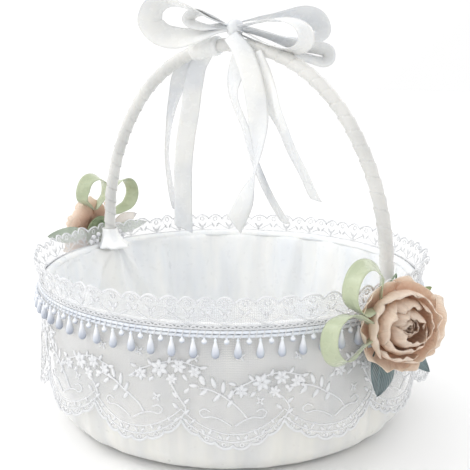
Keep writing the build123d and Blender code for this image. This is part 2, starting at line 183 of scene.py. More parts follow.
def shell(grid, thick, wrap=False, uv=None):
    """Closed thin sheet from a grid of points: both faces and the edges."""
    rows, cols = grid.shape[:2]
    if wrap:
        across = np.roll(grid, -1, 1) - np.roll(grid, 1, 1)
    else:
        across = np.gradient(grid, axis=1)
    down = np.gradient(grid, axis=0)
    normal = np.cross(across, down)
    normal /= np.maximum(np.linalg.norm(normal, axis=2, keepdims=True), 1e-9)
    half = thick / 2
    verts = np.concatenate([(grid + normal * half).reshape(-1, 3), (grid - normal * half).reshape(-1, 3)])
    if uv is None:
        uv = lengths_uv(grid, wrap)
    front = np.arange(rows * cols).reshape(rows, cols)
    if wrap:
        front = lapped(front)
    back = front + rows * cols
    edges = [(front[0, ::-1], back[0, ::-1], uv[0, ::-1]), (front[-1], back[-1], uv[-1])]
    if not wrap:
        edges += [(front[:, 0], back[:, 0], uv[:, 0]), (front[::-1, -1], back[::-1, -1], uv[::-1, -1])]
    panels = [(front, uv), (back[::-1], uv[::-1])]
    panels += [(np.stack([a, b]), np.stack([c, c])) for a, b, c in edges]
    faces = []
    uvs = []
    for index, place in panels:
        faces += corners(index).reshape(-1, 4).tolist()
        uvs += corners(place).reshape(-1, 4, 2).tolist()
    return verts, faces, uvs


def frames_along(path, closed=False):
    """Two unit vectors across a path at each of its points, turning as little as they can."""
    if closed:
        tangent = unit(np.roll(path, -1, 0) - np.roll(path, 1, 0))
    else:
        tangent = unit(np.gradient(path, axis=0))
    start = np.array([0.0, 0.0, 1.0])
    if abs(tangent[0] @ start) > 0.9:
        start = np.array([0.0, 1.0, 0.0])
    side = unit(np.cross(tangent[0], start))
    sides = []
    for t in tangent:
        side = unit(side - t * (side @ t))
        sides.append(side)
    sides = np.array(sides)
    return sides, np.cross(tangent, sides)


def tube(path, radius, sides, closed=False):
    """Round tube along a path. radius is a number, or one for each point and side."""
    path = np.asarray(path, float)
    a, b = frames_along(path, closed)
    angle = circle(sides)
    radius = np.broadcast_to(radius, (len(path), sides))
    ring = a[:, None] * np.cos(angle)[None, :, None] + b[:, None] * np.sin(angle)[None, :, None]
    verts = (path[:, None] + ring * radius[..., None]).reshape(-1, 3)
    index = lapped(np.arange(len(path) * sides).reshape(len(path), sides))
    step = np.concatenate([[0], np.cumsum(np.linalg.norm(np.diff(path, axis=0), axis=1))]) / 10
    if closed:
        index = np.concatenate([index, index[:1]], 0)
        step = np.append(step, step[-1] + np.linalg.norm(path[0] - path[-1]) / 10)
    uv = np.stack(np.meshgrid(np.arange(sides + 1) / sides, step), -1)
    faces = corners(index).reshape(-1, 4).tolist()
    uvs = corners(uv).reshape(-1, 4, 2).tolist()
    if not closed:
        faces += [index[0, :-1][::-1].tolist(), index[-1, :-1].tolist()]
        uvs += [[[0.5, 0.0]] * sides, [[0.5, float(step[-1])]] * sides]
    return verts, faces, uvs


def lathe(profile, sides):
    """Solid of revolution about Z, from its lower pole to its upper pole."""
    profile = np.asarray(profile, float)
    inner = profile[1:-1]
    low, high = profile[0, 1], profile[-1, 1]
    rings = polar(inner[:, :1], circle(sides), inner[:, 1:])
    verts = np.concatenate([rings.reshape(-1, 3), [[0, 0, low], [0, 0, high]]])
    rows = len(inner)
    share = (profile[:, 1] - low) / (high - low)
    faces = []
    uvs = []
    for side in range(sides):
        after = (side + 1) % sides
        u0, u1 = side / sides, (side + 1) / sides
        for row in range(rows - 1):
            here, above = row * sides, (row + 1) * sides
            faces.append([here + side, here + after, above + after, above + side])
            uvs.append([[u0, share[row + 1]], [u1, share[row + 1]],
                        [u1, share[row + 2]], [u0, share[row + 2]]])
        faces.append([rows * sides, after, side])
        uvs.append([[u0, 0], [u1, share[1]], [u0, share[1]]])
        faces.append([rows * sides + 1, (rows - 1) * sides + side, (rows - 1) * sides + after])
        uvs.append([[u0, 1], [u0, share[-2]], [u1, share[-2]]])
    return verts, faces, uvs


def spline(points, count):
    """Smooth curve through rows of numbers, evenly sampled by arc length of its first three columns."""
    points = np.asarray(points, float)
    ends = np.concatenate([[2 * points[0] - points[1]], points, [2 * points[-1] - points[-2]]])
    steps = 24
    fine = []
    for i in range(len(points) - 1):
        p0, p1, p2, p3 = ends[i:i + 4]
        for t in np.arange(steps) / steps:
            fine.append(0.5 * (2 * p1 + (p2 - p0) * t + (2 * p0 - 5 * p1 + 4 * p2 - p3) * t * t
                               + (3 * p1 - p0 - 3 * p2 + p3) * t ** 3))
    fine.append(points[-1])
    fine = np.array(fine)
    run = np.concatenate([[0], np.cumsum(np.linalg.norm(np.diff(fine[:, :3], axis=0), axis=1))])
    at = np.linspace(0, run[-1], count)
    return np.stack([np.interp(at, run, fine[:, k]) for k in range(fine.shape[1])], 1)


def ripple(seed, low, high, terms):
    """Sum of periodic waves round a circle with whole numbers of turns between low and high."""
    rng = np.random.default_rng(seed)
    turns = rng.integers(low, high, terms)
    phase = rng.uniform(0, TAU, terms)
    size = rng.uniform(0.5, 1.0, terms)
    size /= size.sum()

    def at(theta, drift=0.0):
        total = 0
        for k in range(terms):
            total = total + size[k] * np.cos(turns[k] * theta + phase[k] + drift * (k - terms / 2))
        return total

    return at


# ---------------------------------------------------------------- materials


class Shader:
    """Builds one node material."""

    def __init__(self, name):
        self.material = bpy.data.materials.new(name)
        self.material.use_nodes = True
        self.tree = self.material.node_tree
        self.tree.nodes.clear()

    def add(self, kind, inputs=None, **settings):
        node = self.tree.nodes.new("ShaderNode" + kind)
        for key, value in settings.items():
            setattr(node, key, value)
        for key, value in (inputs or {}).items():
            socket = node.inputs[key]
            if isinstance(value, bpy.types.NodeSocket):
                self.tree.links.new(value, socket)
            else:
                socket.default_value = value
        return node

    def coords(self, kind="Object", scale=(1, 1, 1)):
        place = self.add("TexCoord")
        mapped = self.add("Mapping", {"Vector": place.outputs[kind], "Scale": scale})
        return mapped.outputs["Vector"]

    def noise(self, vector, scale, detail=3.0):
        return self.add("TexNoise", {"Vector": vector, "Scale": scale, "Detail": detail}).outputs["Fac"]

    def ramp(self, factor, stops):
        node = self.add("ValToRGB", {"Fac": factor})
        ramp = node.color_ramp
        while len(ramp.elements) < len(stops):
            ramp.elements.new(0.5)
        for element, (place, colour) in zip(ramp.elements, stops):
            element.position = place
            element.color = (*colour, 1) if len(colour) == 3 else colour
        return node.outputs["Color"]

    def uv_part(self, axis):
        place = self.add("TexCoord")
        return self.add("SeparateXYZ", {"Vector": place.outputs["UV"]}).outputs[axis]

    def wave(self, vector, direction, scale, distortion, detail=2.0):
        inputs = {"Vector": vector, "Scale": scale, "Distortion": distortion, "Detail": detail}
        node = self.add("TexWave", inputs, wave_type="BANDS", bands_direction=direction)
        return node.outputs["Fac"]

    def remap(self, value, low, high, to_low, to_high):
        inputs = {"Value": value, "From Min": low, "From Max": high, "To Min": to_low, "To Max": to_high}
        return self.add("MapRange", inputs).outputs[0]

    def blend(self, factor, first, second):
        return self.add("MixShader", {0: factor, 1: first.outputs[0], 2: second.outputs[0]})

    def drifting(self, factor, light, shade, low, high):
        """Colour that goes from shade to light between two values."""
        return self.ramp(factor, [(low, shade), (high, light)])

    def math(self, operation, a, b=0.5):
        return self.add("Math", {0: a, 1: b}, operation=operation).outputs[0]

    def bump(self, height, strength, distance, normal=None):
        inputs = {"Height": height, "Strength": strength, "Distance": distance}
        if normal is not None:
            inputs["Normal"] = normal
        return self.add("Bump", inputs).outputs["Normal"]

    def finish(self, surface):
        self.add("OutputMaterial", {"Surface": surface})
        return self.material


def satin(name, light, shade, roughness, crease, streak=None):
    """Woven satin: soft colour drift, fine thread bump and small creases. With streak given, most of the
    colour drift is painted sheen in bands along the cloth's UV.
    """
    s = Shader(name)
    where = s.coords("Object")
    uv = s.coords("UV")
    drift = s.noise(where, 26.0, 4.0)
    if streak:
        # Painted sheen: noise bands stretched along the cloth by streak stand for the satin's sheen and soft
        # fold shading.
        sheen_bands = s.noise(s.coords("UV", (*streak, 1)), 1.0, 3.0)
        drift = s.math("ADD", s.math("MULTIPLY", drift, 0.3), s.math("MULTIPLY", sheen_bands, 0.7))
    colour = s.drifting(drift, light, shade, 0.36, 0.62)
    warp = s.wave(uv, "X", 9.0, 0.4, 1.0)
    weft = s.wave(uv, "Y", 9.0, 0.4, 1.0)
    fine = s.bump(s.math("MULTIPLY", warp, weft), 0.12, 0.0004)
    rumple = s.noise(where, 190.0, 3.0)
    surface = s.add("BsdfPrincipled", {
        "Base Color": colour, "Normal": s.bump(rumple, crease, 0.0006, fine),
        "Roughness": s.remap(rumple, 0.3, 0.7, roughness - 0.05, roughness + 0.08),
        "Anisotropic": 0.4, "Sheen Weight": 0.35, "Sheen Roughness": 0.4, "Specular IOR Level": 0.45,
        "Subsurface Weight": 0.06, "Subsurface Radius": (0.004, 0.003, 0.002), "Subsurface Scale": 0.5})
    return s.finish(surface.outputs[0])


def thread_work(name, light, shade, stitch, depth):
    """Embroidery thread: dense parallel stitches with a slight lustre, and painted shade in the grooves
    between them.
    """
    s = Shader(name)
    stitches = s.wave(s.coords("UV"), "DIAGONAL", stitch, 1.2)
    base = s.drifting(s.noise(s.coords("Object"), 60.0, 3.0), light, shade, 0.3, 0.65)
    # Painted shade: the grooves between stitches are darkened by depth.
    groove_shade = (*[c * 0.72 for c in shade], 1)
    dark = s.add("Mix", {"Factor": s.math("MULTIPLY", stitches, depth), "A": base, "B": groove_shade},
                 data_type="RGBA")
    surface = s.add("BsdfPrincipled", {
        "Base Color": dark.outputs["Result"], "Roughness": 0.5, "Sheen Weight": 0.3,
        "Normal": s.bump(stitches, 0.35, 0.0003)})
    return s.finish(surface.outputs[0])


def net(name, light, shade, cell, solid, open_share):
    """Net or sheer cloth: threads drawn as cell edges, see-through between them."""
    s = Shader(name)
    cells = s.add("TexVoronoi", {"Vector": s.coords("UV"), "Scale": cell, "Randomness": 0.25},
                  feature="DISTANCE_TO_EDGE").outputs["Distance"]
    colour = s.drifting(s.noise(s.coords("Object"), 45.0, 3.0), light, shade, 0.3, 0.65)
    cloth = s.add("BsdfPrincipled", {
        "Base Color": colour, "Roughness": 0.62, "Normal": s.bump(cells, 0.25, 0.0003),
        "Sheen Weight": 0.35, "Sheen Roughness": 0.4})
    line = s.remap(cells, 0.05, 0.16, solid, open_share)
    return s.finish(s.blend(line, s.add("BsdfTransparent"), cloth).outputs[0])


def petal_cloth(name, centre, middle, rim, opacity, rim_opacity):
    """Sheer petal cloth: deeper at the root, pale and doubled at the rim, with fine threads."""
    s = Shader(name)
    up = s.uv_part("Y")
    where = s.coords("Object")
    streak = s.noise(s.coords("UV", (26, 3, 1)), 1.0, 3.0)
    along = s.math("ADD", up, s.math("MULTIPLY", s.math("SUBTRACT", streak, 0.5), 0.35))
    colour = s.ramp(along, [(0.05, centre), (0.45, middle), (0.9, rim)])
    normal = s.bump(s.noise(where, 260.0, 3.0), 0.45, 0.0006)
    normal = s.bump(s.wave(where, "DIAGONAL", 420.0, 0.6), 0.2, 0.0002, normal)
    normal = s.bump(streak, 0.7, 0.0014, normal)
    cloth = s.add("BsdfPrincipled", {
        "Base Color": colour, "Roughness": 0.5, "Normal": normal, "Sheen Weight": 0.2,
        "Sheen Roughness": 0.35, "Specular IOR Level": 0.3})
    cloth = s.blend(0.32, cloth, s.add("BsdfTranslucent", {"Color": colour, "Normal": normal}))
    clear = s.add("BsdfTransparent", {"Color": (1.0, 0.95, 0.9, 1)})
    solid = s.remap(up, 0.86, 0.95, opacity, rim_opacity)
    return s.finish(s.blend(solid, clear, cloth).outputs[0])


def pearl(name):
    """Pearl: pale skin with painted shade that turns it grey lilac toward its lower end, under a clear coat.
    """
    s = Shader(name)
    cloud = s.noise(s.coords("Object"), 240.0, 3.0)
    shade_height = s.math("ADD", s.uv_part("Y"), s.math("MULTIPLY", s.math("SUBTRACT", cloud, 0.5), 0.3))
    # low is painted shade on the lower end of each pearl and bead; the cloud noise varies it at random.
    low, middle, high = (0.22, 0.25, 0.33), (0.50, 0.54, 0.62), (0.85, 0.87, 0.91)
    surface = s.add("BsdfPrincipled", {
        "Base Color": s.ramp(shade_height, [(0.0, low), (0.28, middle), (0.7, high)]), "Roughness": 0.2,
        "Normal": s.bump(cloud, 0.06, 0.0003), "Coat Weight": 0.6, "Coat Roughness": 0.08,
        "Sheen Weight": 0.2, "Specular IOR Level": 0.6, "Subsurface Weight": 0.1,
        "Subsurface Radius": (0.002, 0.002, 0.002), "Subsurface Scale": 0.5})
    return s.finish(surface.outputs[0])


def leaf_cloth(name, light, shade):
    """Leaf ribbon with a midrib and slanting veins."""
    s = Shader(name)
    side = s.math("ABSOLUTE", s.math("SUBTRACT", s.uv_part("X"), 0.5), 0.0)
    slant = s.math("SUBTRACT", s.uv_part("Y"), side)
    veins = s.math("SINE", s.math("MULTIPLY", slant, 62.0), 0.0)
    drift = s.noise(s.coords("Object"), 110.0, 4.0)
    rib = s.remap(side, 0.0, 0.05, 0.45, 0.0)
    pale = (*[min(1, c * 1.9) for c in light], 1)
    base = s.drifting(drift, light, shade, 0.3, 0.7)
    colour = s.add("Mix", {"Factor": rib, "A": base, "B": pale}, data_type="RGBA")
    surface = s.add("BsdfPrincipled", {
        "Base Color": colour.outputs["Result"], "Roughness": 0.42, "Sheen Weight": 0.3,
        "Normal": s.bump(veins, 0.5, 0.0004, s.bump(drift, 0.3, 0.0006))})
    return s.finish(surface.outputs[0])


def plain(name, light, shade, roughness, grain=900.0):
    """Hidden stiff parts: board, moulding and wire, with a fine grain."""
    s = Shader(name)
    grains = s.noise(s.coords("Object"), grain, 4.0)
    surface = s.add("BsdfPrincipled", {
        "Base Color": s.drifting(grains, light, shade, 0.3, 0.7), "Roughness": roughness,
        "Normal": s.bump(grains, 0.25, 0.0002)})
    return s.finish(surface.outputs[0])


# The cover's and lining's streak values paint sheen and fold shading in bands. The lining's cool blue shade
# colour is painted shade in its folds. The cover's colours are its cream satin set darker overall as painted
# shade.
cover_satin = satin("cover_satin", (0.82, 0.81, 0.765), (0.71, 0.715, 0.71), 0.32, 0.2, (0.9, 0.12))
lining_satin = satin("lining_satin", (0.955, 0.95, 0.925), (0.83, 0.855, 0.885), 0.3, 0.2, (0.55, 0.1))
ribbon_satin = satin("ribbon_satin", (0.83, 0.83, 0.81), (0.70, 0.72, 0.745), 0.24, 0.08)
# wrap_satin is cream satin with colours set darker than the bow ribbon's as painted shade on the handle.
wrap_satin = satin("wrap_satin", (0.73, 0.725, 0.70), (0.60, 0.60, 0.585), 0.28, 0.2)
green_satin = satin("green_satin", (0.52, 0.57, 0.41), (0.36, 0.42, 0.27), 0.26, 0.12, (0.3, 0.3))
lace_net = net("lace_net", (0.87, 0.87, 0.875), (0.81, 0.82, 0.835), 11.0, 0.6, 0.08)
lace_thread = thread_work("lace_thread", (0.89, 0.895, 0.91), (0.80, 0.815, 0.84), 26.0, 0.2)
cord_thread = thread_work("cord_thread", (0.94, 0.97, 1.0), (0.84, 0.89, 0.98), 18.0, 0.1)
pearl_skin = pearl("pearl_skin")
petal_outer = petal_cloth(
    "petal_outer", (0.76, 0.50, 0.37), (0.93, 0.73, 0.59), (0.97, 0.86, 0.75), 0.84, 0.97)
petal_inner = petal_cloth(
    "petal_inner", (0.70, 0.44, 0.32), (0.93, 0.71, 0.56), (0.97, 0.84, 0.72), 0.9, 0.98)
organza_white = petal_cloth(
    "organza_white", (0.72, 0.72, 0.72), (0.78, 0.78, 0.78), (0.85, 0.85, 0.85), 0.55, 0.85)
leaf_dark = leaf_cloth("leaf_dark", (0.15, 0.22, 0.23), (0.06, 0.10, 0.11))
leaf_olive = leaf_cloth("leaf_olive", (0.36, 0.42, 0.16), (0.23, 0.28, 0.09))
leaf_pale = leaf_cloth("leaf_pale", (0.56, 0.63, 0.52), (0.43, 0.50, 0.40))
board = plain("board", (0.72, 0.68, 0.60), (0.60, 0.56, 0.48), 0.8)
moulding = plain("moulding", (0.78, 0.77, 0.74), (0.72, 0.71, 0.68), 0.5)
wire_paint = plain("wire_paint", (0.16, 0.24, 0.13), (0.10, 0.16, 0.08), 0.45)
calyx_cloth = plain("calyx_cloth", (0.30, 0.36, 0.22), (0.20, 0.25, 0.14), 0.75, grain=500.0)
bead_skin = plain("bead_skin", (0.80, 0.80, 0.82), (0.70, 0.70, 0.74), 0.25)

for node, material in (
    ("base_disc", board), ("bowl_shell", moulding), ("handle_core", moulding),
    ("handle_ties", moulding), ("near_tie_wire", wire_paint), ("far_tie_wire", wire_paint),
    ("near_rose_pad", calyx_cloth), ("far_rose_pad", calyx_cloth), ("far_bead_spray", bead_skin),
):
    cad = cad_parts[node]
    cad.data.materials.clear()
    cad.data.materials.append(material)


# ---------------------------------------------------------------- bowl cloth

def bowl_profile(grow, top, steps=14):
    """Half profile of the bowl's form grown by an offset: from its flat bottom up the wall."""
    low = FLOOR_Z - grow
    foot = FOOT_R + SLOPE * (low - FLOOR_Z) + grow
    radius = CORNER_R + grow
    run = radius * math.tan((math.pi / 2 - TILT) / 2)
    centre = np.array([foot - run, low + radius])
    sweep = np.linspace(-math.pi / 2, -TILT, steps)
    arc = centre + radius * np.stack([np.cos(sweep), np.sin(sweep)], 1)
    brim = np.array([RIM_R + SLOPE * (top - RIM_Z) + grow, top])
    return arc, brim


def wall_profile(arc, brim, count):
    """The arc of a bowl profile and its straight wall above, with extra points on the wall."""
    z = np.linspace(arc[-1][1], brim[1], count)[1:]
    r = np.interp(z, [arc[-1][1], brim[1]], [arc[-1][0], brim[0]])
    return np.concatenate([arc, np.stack([r, z], 1)])


def build_cover():
    """Outer satin: smooth behind the lace, gathered round the foot and turned under."""
    theta = circle(840)
    arc, brim = bowl_profile(1.6, SKIRT_TOP)
    hem = np.stack([np.linspace(84.0, arc[2][0] - 1.5, 7), np.full(7, 1.9)], 1)
    profile = np.concatenate([hem, wall_profile(arc[3:], brim, 22)])
    broad = ripple(11, 24, 46, 6)
    fine = ripple(12, 70, 120, 7)
    amount = np.interp(profile[:, 1], [1.9, 4, 12, 30, 60, 88], [0.0, 1.6, 2.6, 2.0, 0.9, 0.12])
    rows = []
    for (r, z), most in zip(profile, amount):
        fold = 0.5 + 0.8 * broad(theta, z / 22 * 0.4) + 0.2 * fine(theta, z / 22 * 0.6)
        out = most * np.clip(fold, 0.02, 1.2)
        lean = np.clip(z / 16, 0, 1)
        rows.append(polar(r + out * (0.35 + 0.65 * lean), theta, z + (0.3 * out if z < 3 else 0)))
    mesh = shell(np.array(rows), 0.5, wrap=True)
    obj = make_object("satin_cover", *mesh, cover_satin, "basket", "satin", ["outer_cover"])


def leg_bulge(theta, z):
    """How far the lining stands in from the wall over the two handle legs."""
    total = 0
    for heading in (0.0, math.pi):
        side = from_heading(theta, heading) * FOLD_R
        total = total + np.exp(-side ** 2 / (2 * 6.4 ** 2))
    return total * np.interp(RIM_Z - z, [-6, 0, 60, 68, 76], [10.4, 10.2, 9.6, 6.0, 0.0])


def leg_fan(theta, z):
    """Folds that fan down and outward from where the satin is drawn in at each handle leg."""
    total = 0
    depth = RIM_Z - z + 5
    for heading, turn in ((0.0, 0.4), (math.pi, 1.3)):
        side = from_heading(theta, heading) * FOLD_R
        spread = np.arctan2(side, depth)
        reach = np.hypot(side, depth)
        pleat = np.clip(np.sin(spread * 8.5 + turn + 0.5 * np.sin(spread * 3)), 0, 1) ** 1.4
        total = total + 5.5 * pleat * np.exp(-((reach - 34) / 27) ** 2)
    return total


def build_lining():
    """Satin lining: soft hanging folds on the wall, covered legs, and a floor under the pad."""
    theta = circle(720)
    arc, brim = bowl_profile(-2.3, 88.7, 10)
    floor = np.stack([np.linspace(20, arc[0][0] - 2, 6), np.full(6, arc[0][1])], 1)
    profile = np.concatenate([floor, wall_profile(arc, brim, 26)])
    broad = ripple(21, 12, 30, 5)
    fine = ripple(22, 36, 70, 6)
    amount = np.interp(profile[:, 1], [4.7, 12, 30, 60, 84, 88.5], [0.0, 3.0, 5.8, 5.6, 2.8, 0.3])
    rows = []
    for (r, z), most in zip(profile, amount):
        drift = (RIM_Z - z) / 60
        wave = broad(theta, drift)
        fold = 0.5 + 0.75 * np.sign(wave) * np.abs(wave) ** 0.8 + 0.22 * fine(theta, drift * 1.5)
        inward = most * np.clip(fold, 0.0, 1.3)
        if r > WALL_FROM:
            fan = leg_fan(theta, z) * np.clip((r - WALL_FROM) / 6, 0, 1)
            inward = inward + leg_bulge(theta, z) + fan
        rows.append(polar(r - inward, theta, z))
    mesh = shell(np.array(rows)[::-1], 0.5, wrap=True)
    obj = make_object("satin_lining", *mesh, lining_satin, "basket", "lining_satin", ["lining"])


def build_rim_roll():
    """Satin roll over the wall's top, with small puckers, drawn in at the handle legs."""
    theta = circle(900)
    pucker = ripple(31, 60, 170, 9)
    slow = ripple(32, 5, 16, 5)
    rise = 2.1 + 0.35 * pucker(theta) + 0.3 * slow(theta)
    near_leg = 0
    for heading in (0.0, math.pi):
        near_leg = near_leg + np.exp(-(from_heading(theta, heading) * 116) ** 2 / (2 * 5.0 ** 2))
    inner = 114.9 + 1.9 * near_leg
    outer = 119.75
    rows = []
    for turn in np.linspace(math.pi, 0, 11):
        share = 0.5 - 0.5 * math.cos(math.pi - turn)
        r = inner + (outer - inner) * share + 0.12 * pucker(theta, 2.0)
        z = RIM_Z + 0.35 - 1.6 * (1 - share) ** 4 + rise * math.sin(turn) ** 0.7
        rows.append(polar(r, theta, z))
    mesh = shell(np.array(rows)[::-1], 0.45, wrap=True)
    obj = make_object("rim_roll", *mesh, lining_satin, "basket", "satin", ["rim_binding"])


def build_cuffs():
    """Gathered satin that flares up round each handle foot."""
    angle = circle(72)
    for name, heading, tall, seed, flat_wide in (
        ("cuff_near", 0.0, 6.0, 41, 0.0105), ("cuff_far", math.pi, 13.0, 42, 0.0165),
    ):
        pleat = ripple(seed, 5, 12, 5)
        rows = []
        for share in np.linspace(0, 1, 10):
            z = RIM_Z + 1.0 + tall * share
            spread = 0.55 + (4.0 + 0.45 * tall) * (1 - share) ** 2.0
            flare = spread * (1 + 0.3 * pleat(angle, share * 2)) + 0.35 * (1 + pleat(angle, 1.0)) * share
            r = HANDLE_R + 0.25 + flare * (0.62 - 0.38 * np.cos(angle))
            x = np.minimum(LEG_X + SLOPE * (z - RIM_Z) + r * np.cos(angle), 119.3)
            y = r * np.sin(angle)
            rows.append(np.stack([x * math.cos(heading) - y * math.sin(heading),
                                  x * math.sin(heading) + y * math.cos(heading), z + 0 * x], 1))
        mesh = shell(np.array(rows)[::-1], 0.35, wrap=True)
        obj = make_object(name, *mesh, lining_satin, "basket", "lining_satin")


def puff(obj, most, lowest):
    """Blows a closed cloth up by simulation, with each point moved by no more than most metres."""
    rest = np.array([v.co for v in obj.data.vertices], float)
    cloth = obj.modifiers.new("Cloth", "CLOTH")
    cloth.settings.use_pressure = True
    cloth.settings.uniform_pressure_force = 3.0
    cloth.settings.effector_weights.gravity = 0
    cloth.settings.quality = 5
    for step in range(1, 16):
        bpy.context.scene.frame_set(step)
    done = obj.evaluated_get(bpy.context.evaluated_depsgraph_get())
    moved = np.array([v.co for v in done.data.vertices], float)
    obj.modifiers.remove(cloth)
    bpy.context.scene.frame_set(1)
    shift = moved - rest
    length = np.linalg.norm(shift, axis=1, keepdims=True)
    capped = rest + shift * np.minimum(1, most / np.maximum(length, 1e-9))
    capped[:, 2] = np.maximum(capped[:, 2], lowest)
    obj.data.vertices.foreach_set("co", capped.reshape(-1))
    obj.data.update()


def build_floor_pad():
    """Thin padded floor covered in satin, puffed by cloth simulation."""
    radii = np.concatenate([np.linspace(4, 90, 20), [92.5, 93.8]])
    cols = 96
    theta = circle(cols)
    upper = [polar(r, theta, 7.0 - (0.8 if r > 93 else 0)) for r in radii]
    lower = [polar(r, theta, 5.4 + (0.5 if r > 93 else 0)) for r in radii[::-1]]
    flat = np.array(upper + lower).reshape(-1, 3)
    index = lapped(np.arange(len(flat)).reshape(-1, cols))
    faces = corners(index)[..., [1, 0, 3, 2]].reshape(-1, 4).tolist()
    faces += [index[0, :-1].tolist(), index[-1, :-1][::-1].tolist()]
    uvs = [[[flat[i][0] / 10, flat[i][1] / 10] for i in face] for face in faces]
    obj = make_object("floor_pad", flat, faces, uvs, lining_satin, None)
    puff(obj, most=0.003, lowest=0.00532)
    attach(obj, "basket")
    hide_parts("floor_card")


build_cover()
build_lining()
build_rim_roll()
build_cuffs()
build_floor_pad()


# ---------------------------------------------------------------- lace

skirt_wave = ripple(51, 9, 24, 6)
collar_wave = ripple(52, 14, 40, 6)


def skirt_radius(theta, z):
    """Radius of the lace skirt: close under the fringe, rippled and flared lower down."""
    down = np.clip((72 - z) / 47, 0, 1)
    out = 2.2 * (SKIRT_TOP - z) / 63.3
    out = out + down ** 1.4 * (0.9 * np.cos(WAVES * theta) + 1.5 * (skirt_wave(theta, down) + 0.35))
    out = out + down ** 1.6 * 6.5 * np.exp(-(from_heading(theta, math.radians(36)) / 0.28) ** 2)
    return SKIRT_R + 0.35 + np.maximum(out, 0.0)


def wave_phase(theta):
    """Place within a wave of the skirt's edge, from minus to plus a half."""
    return (theta * WAVES / TAU + 0.5) % 1 - 0.5


def wave_low(phase):
    """Height of the skirt's round waves, without their scallops."""
    across = phase * TAU / WAVES * LACE_R
    return 62 - np.sqrt(37.0 ** 2 - np.clip(across, -27, 27) ** 2)


def skirt_edge(theta):
    """Height of the skirt's lower edge: round waves, each with six small scallops."""
    phase = wave_phase(theta)
    small = np.abs(np.sin(math.pi * 6 * (phase + 0.5))) ** 0.6
    return wave_low(phase) + 1.6 - 2.2 * small


def on_skirt(theta, z, lift=0.0):
    return polar(skirt_radius(theta, z) + lift, theta, z)


def collar_top(theta):
    """Height of the collar's scalloped upper edge."""
    phase = (theta * SCALLOPS / TAU + 0.22 * np.sin(7 * theta + 1.0)) % 1
    height = 103.0 + 1.7 * np.cos(theta + math.radians(52)) + 0.9 * collar_wave(theta, 1.0)
    return height + 3.6 * (np.abs(np.sin(math.pi * phase)) ** 0.62 - 0.62)


def on_collar(theta, z, lift=0.0):
    up = np.clip((z - 88.5) / 15.8, 0, 1.2)
    out = 3.0 * up + up ** 1.5 * (2.4 * collar_wave(theta, up) + 0.5 * np.cos(36 * theta))
    side = 0
    for degrees in (38, -142):
        side = side + np.exp(-(from_heading(theta, math.radians(degrees)) / 0.3) ** 2)
    return polar(SKIRT_R + 0.5 + np.maximum(out + 1.8 * side * up ** 2, 0) + lift, theta, z)


def lens(length, width, height):
    """Small domed petal or leaf, lying along x and facing z."""
    sides = 10
    turn = circle(sides)
    x = 0.5 * length * np.cos(turn)
    y = 0.5 * width * np.sin(turn) * (1 - 0.25 * np.cos(turn))
    rings = [np.stack([k * x, k * y, 0 * x + z], 1) for k, z in ((1, 0), (0.6, 0.75 * height), (0.9, -0.1))]
    verts = np.concatenate([*rings, [[0, 0, height], [0, 0, -0.12]]])
    faces = []
    for i in range(sides):
        j = (i + 1) % sides
        faces.append([i, j, sides + j, sides + i])
        faces.append([sides + i, sides + j, 3 * sides])
        faces.append([2 * sides + i, 2 * sides + j, j, i])
        faces.append([2 * sides + j, 2 * sides + i, 3 * sides + 1])
    return verts, faces


def place_lens(batch, surface, theta, z, turn, length, width, height):
    """Puts a domed petal on a lace surface at an angle and height, turned in the surface."""
    lift = 0.28
    spots = surface(np.array([theta, theta + 1e-3, theta]), np.array([z, z, z + 0.1]), lift)
    along = unit(spots[1] - spots[0])
    above = unit(spots[2] - spots[0])
    out = unit(np.cross(along, above))
    x = along * math.cos(turn) + above * math.sin(turn)
    y = np.cross(out, x)
    verts, faces = lens(length, width, height)
    world = spots[0] + verts[:, :1] * x + verts[:, 1:2] * y + verts[:, 2:] * out
    uvs = [[[verts[i][0] / 10 + 0.3, verts[i][1] / 10 + 0.3] for i in face] for face in faces]
    batch.add(world, faces, uvs)


def vine(batch, surface, points, radius, count=40):
    """Couched thread that follows (angle in degrees, height) points on a lace surface."""
    curve = spline([(math.radians(a) * LACE_R, z, 0) for a, z in points], count)
    batch.add(*tube(surface(curve[:, 0] / LACE_R, curve[:, 1], 0.35), radius, 5))


def eyelet(batch, surface, theta, z, radius, thick):
    """Small sewn ring on a lace surface."""
    turn = circle(10)
    path = surface(theta + radius * np.cos(turn) / LACE_R, z + radius * np.sin(turn), 0.3)
    batch.add(*tube(path, thick, 5, closed=True))


def lace_uv(cols, down):
    """UV of a lace strip in units of 10 mm: along the rim, and down from its held edge."""
    u = np.arange(cols + 1) / cols * TAU * LACE_R / 10
    return np.stack([np.repeat(u[None], len(down), 0), lapped(down) / 10], -1)


def skirt_edging(work, middle, pitch):
    """Eyelets and small leaves over each scallop of one wave, and its two scrolls."""
    for small in range(6):
        phase = (small - 2.5) / 6
        t = math.radians(middle + phase * pitch)
        low = float(wave_low(phase))
        eyelet(work, on_skirt, t, low + 1.5, 1.0, 0.3)
        for lean in (-0.55, 0.55):
            at = t + lean * 3.6 / LACE_R
            place_lens(work, on_skirt, at, low + 5.5, math.pi / 2 + lean * -1.2, 3.4, 1.5, 0.5)
    for side in (-1, 1):
        scroll = [(0.4, 37), (2.6, 40), (5.0, 41.5), (7.2, 41.0), (8.2, 43.5), (7.0, 45.5), (5.6, 44.4)]
        vine(work, on_skirt, [(middle + side * a, z) for a, z in scroll], 0.42)


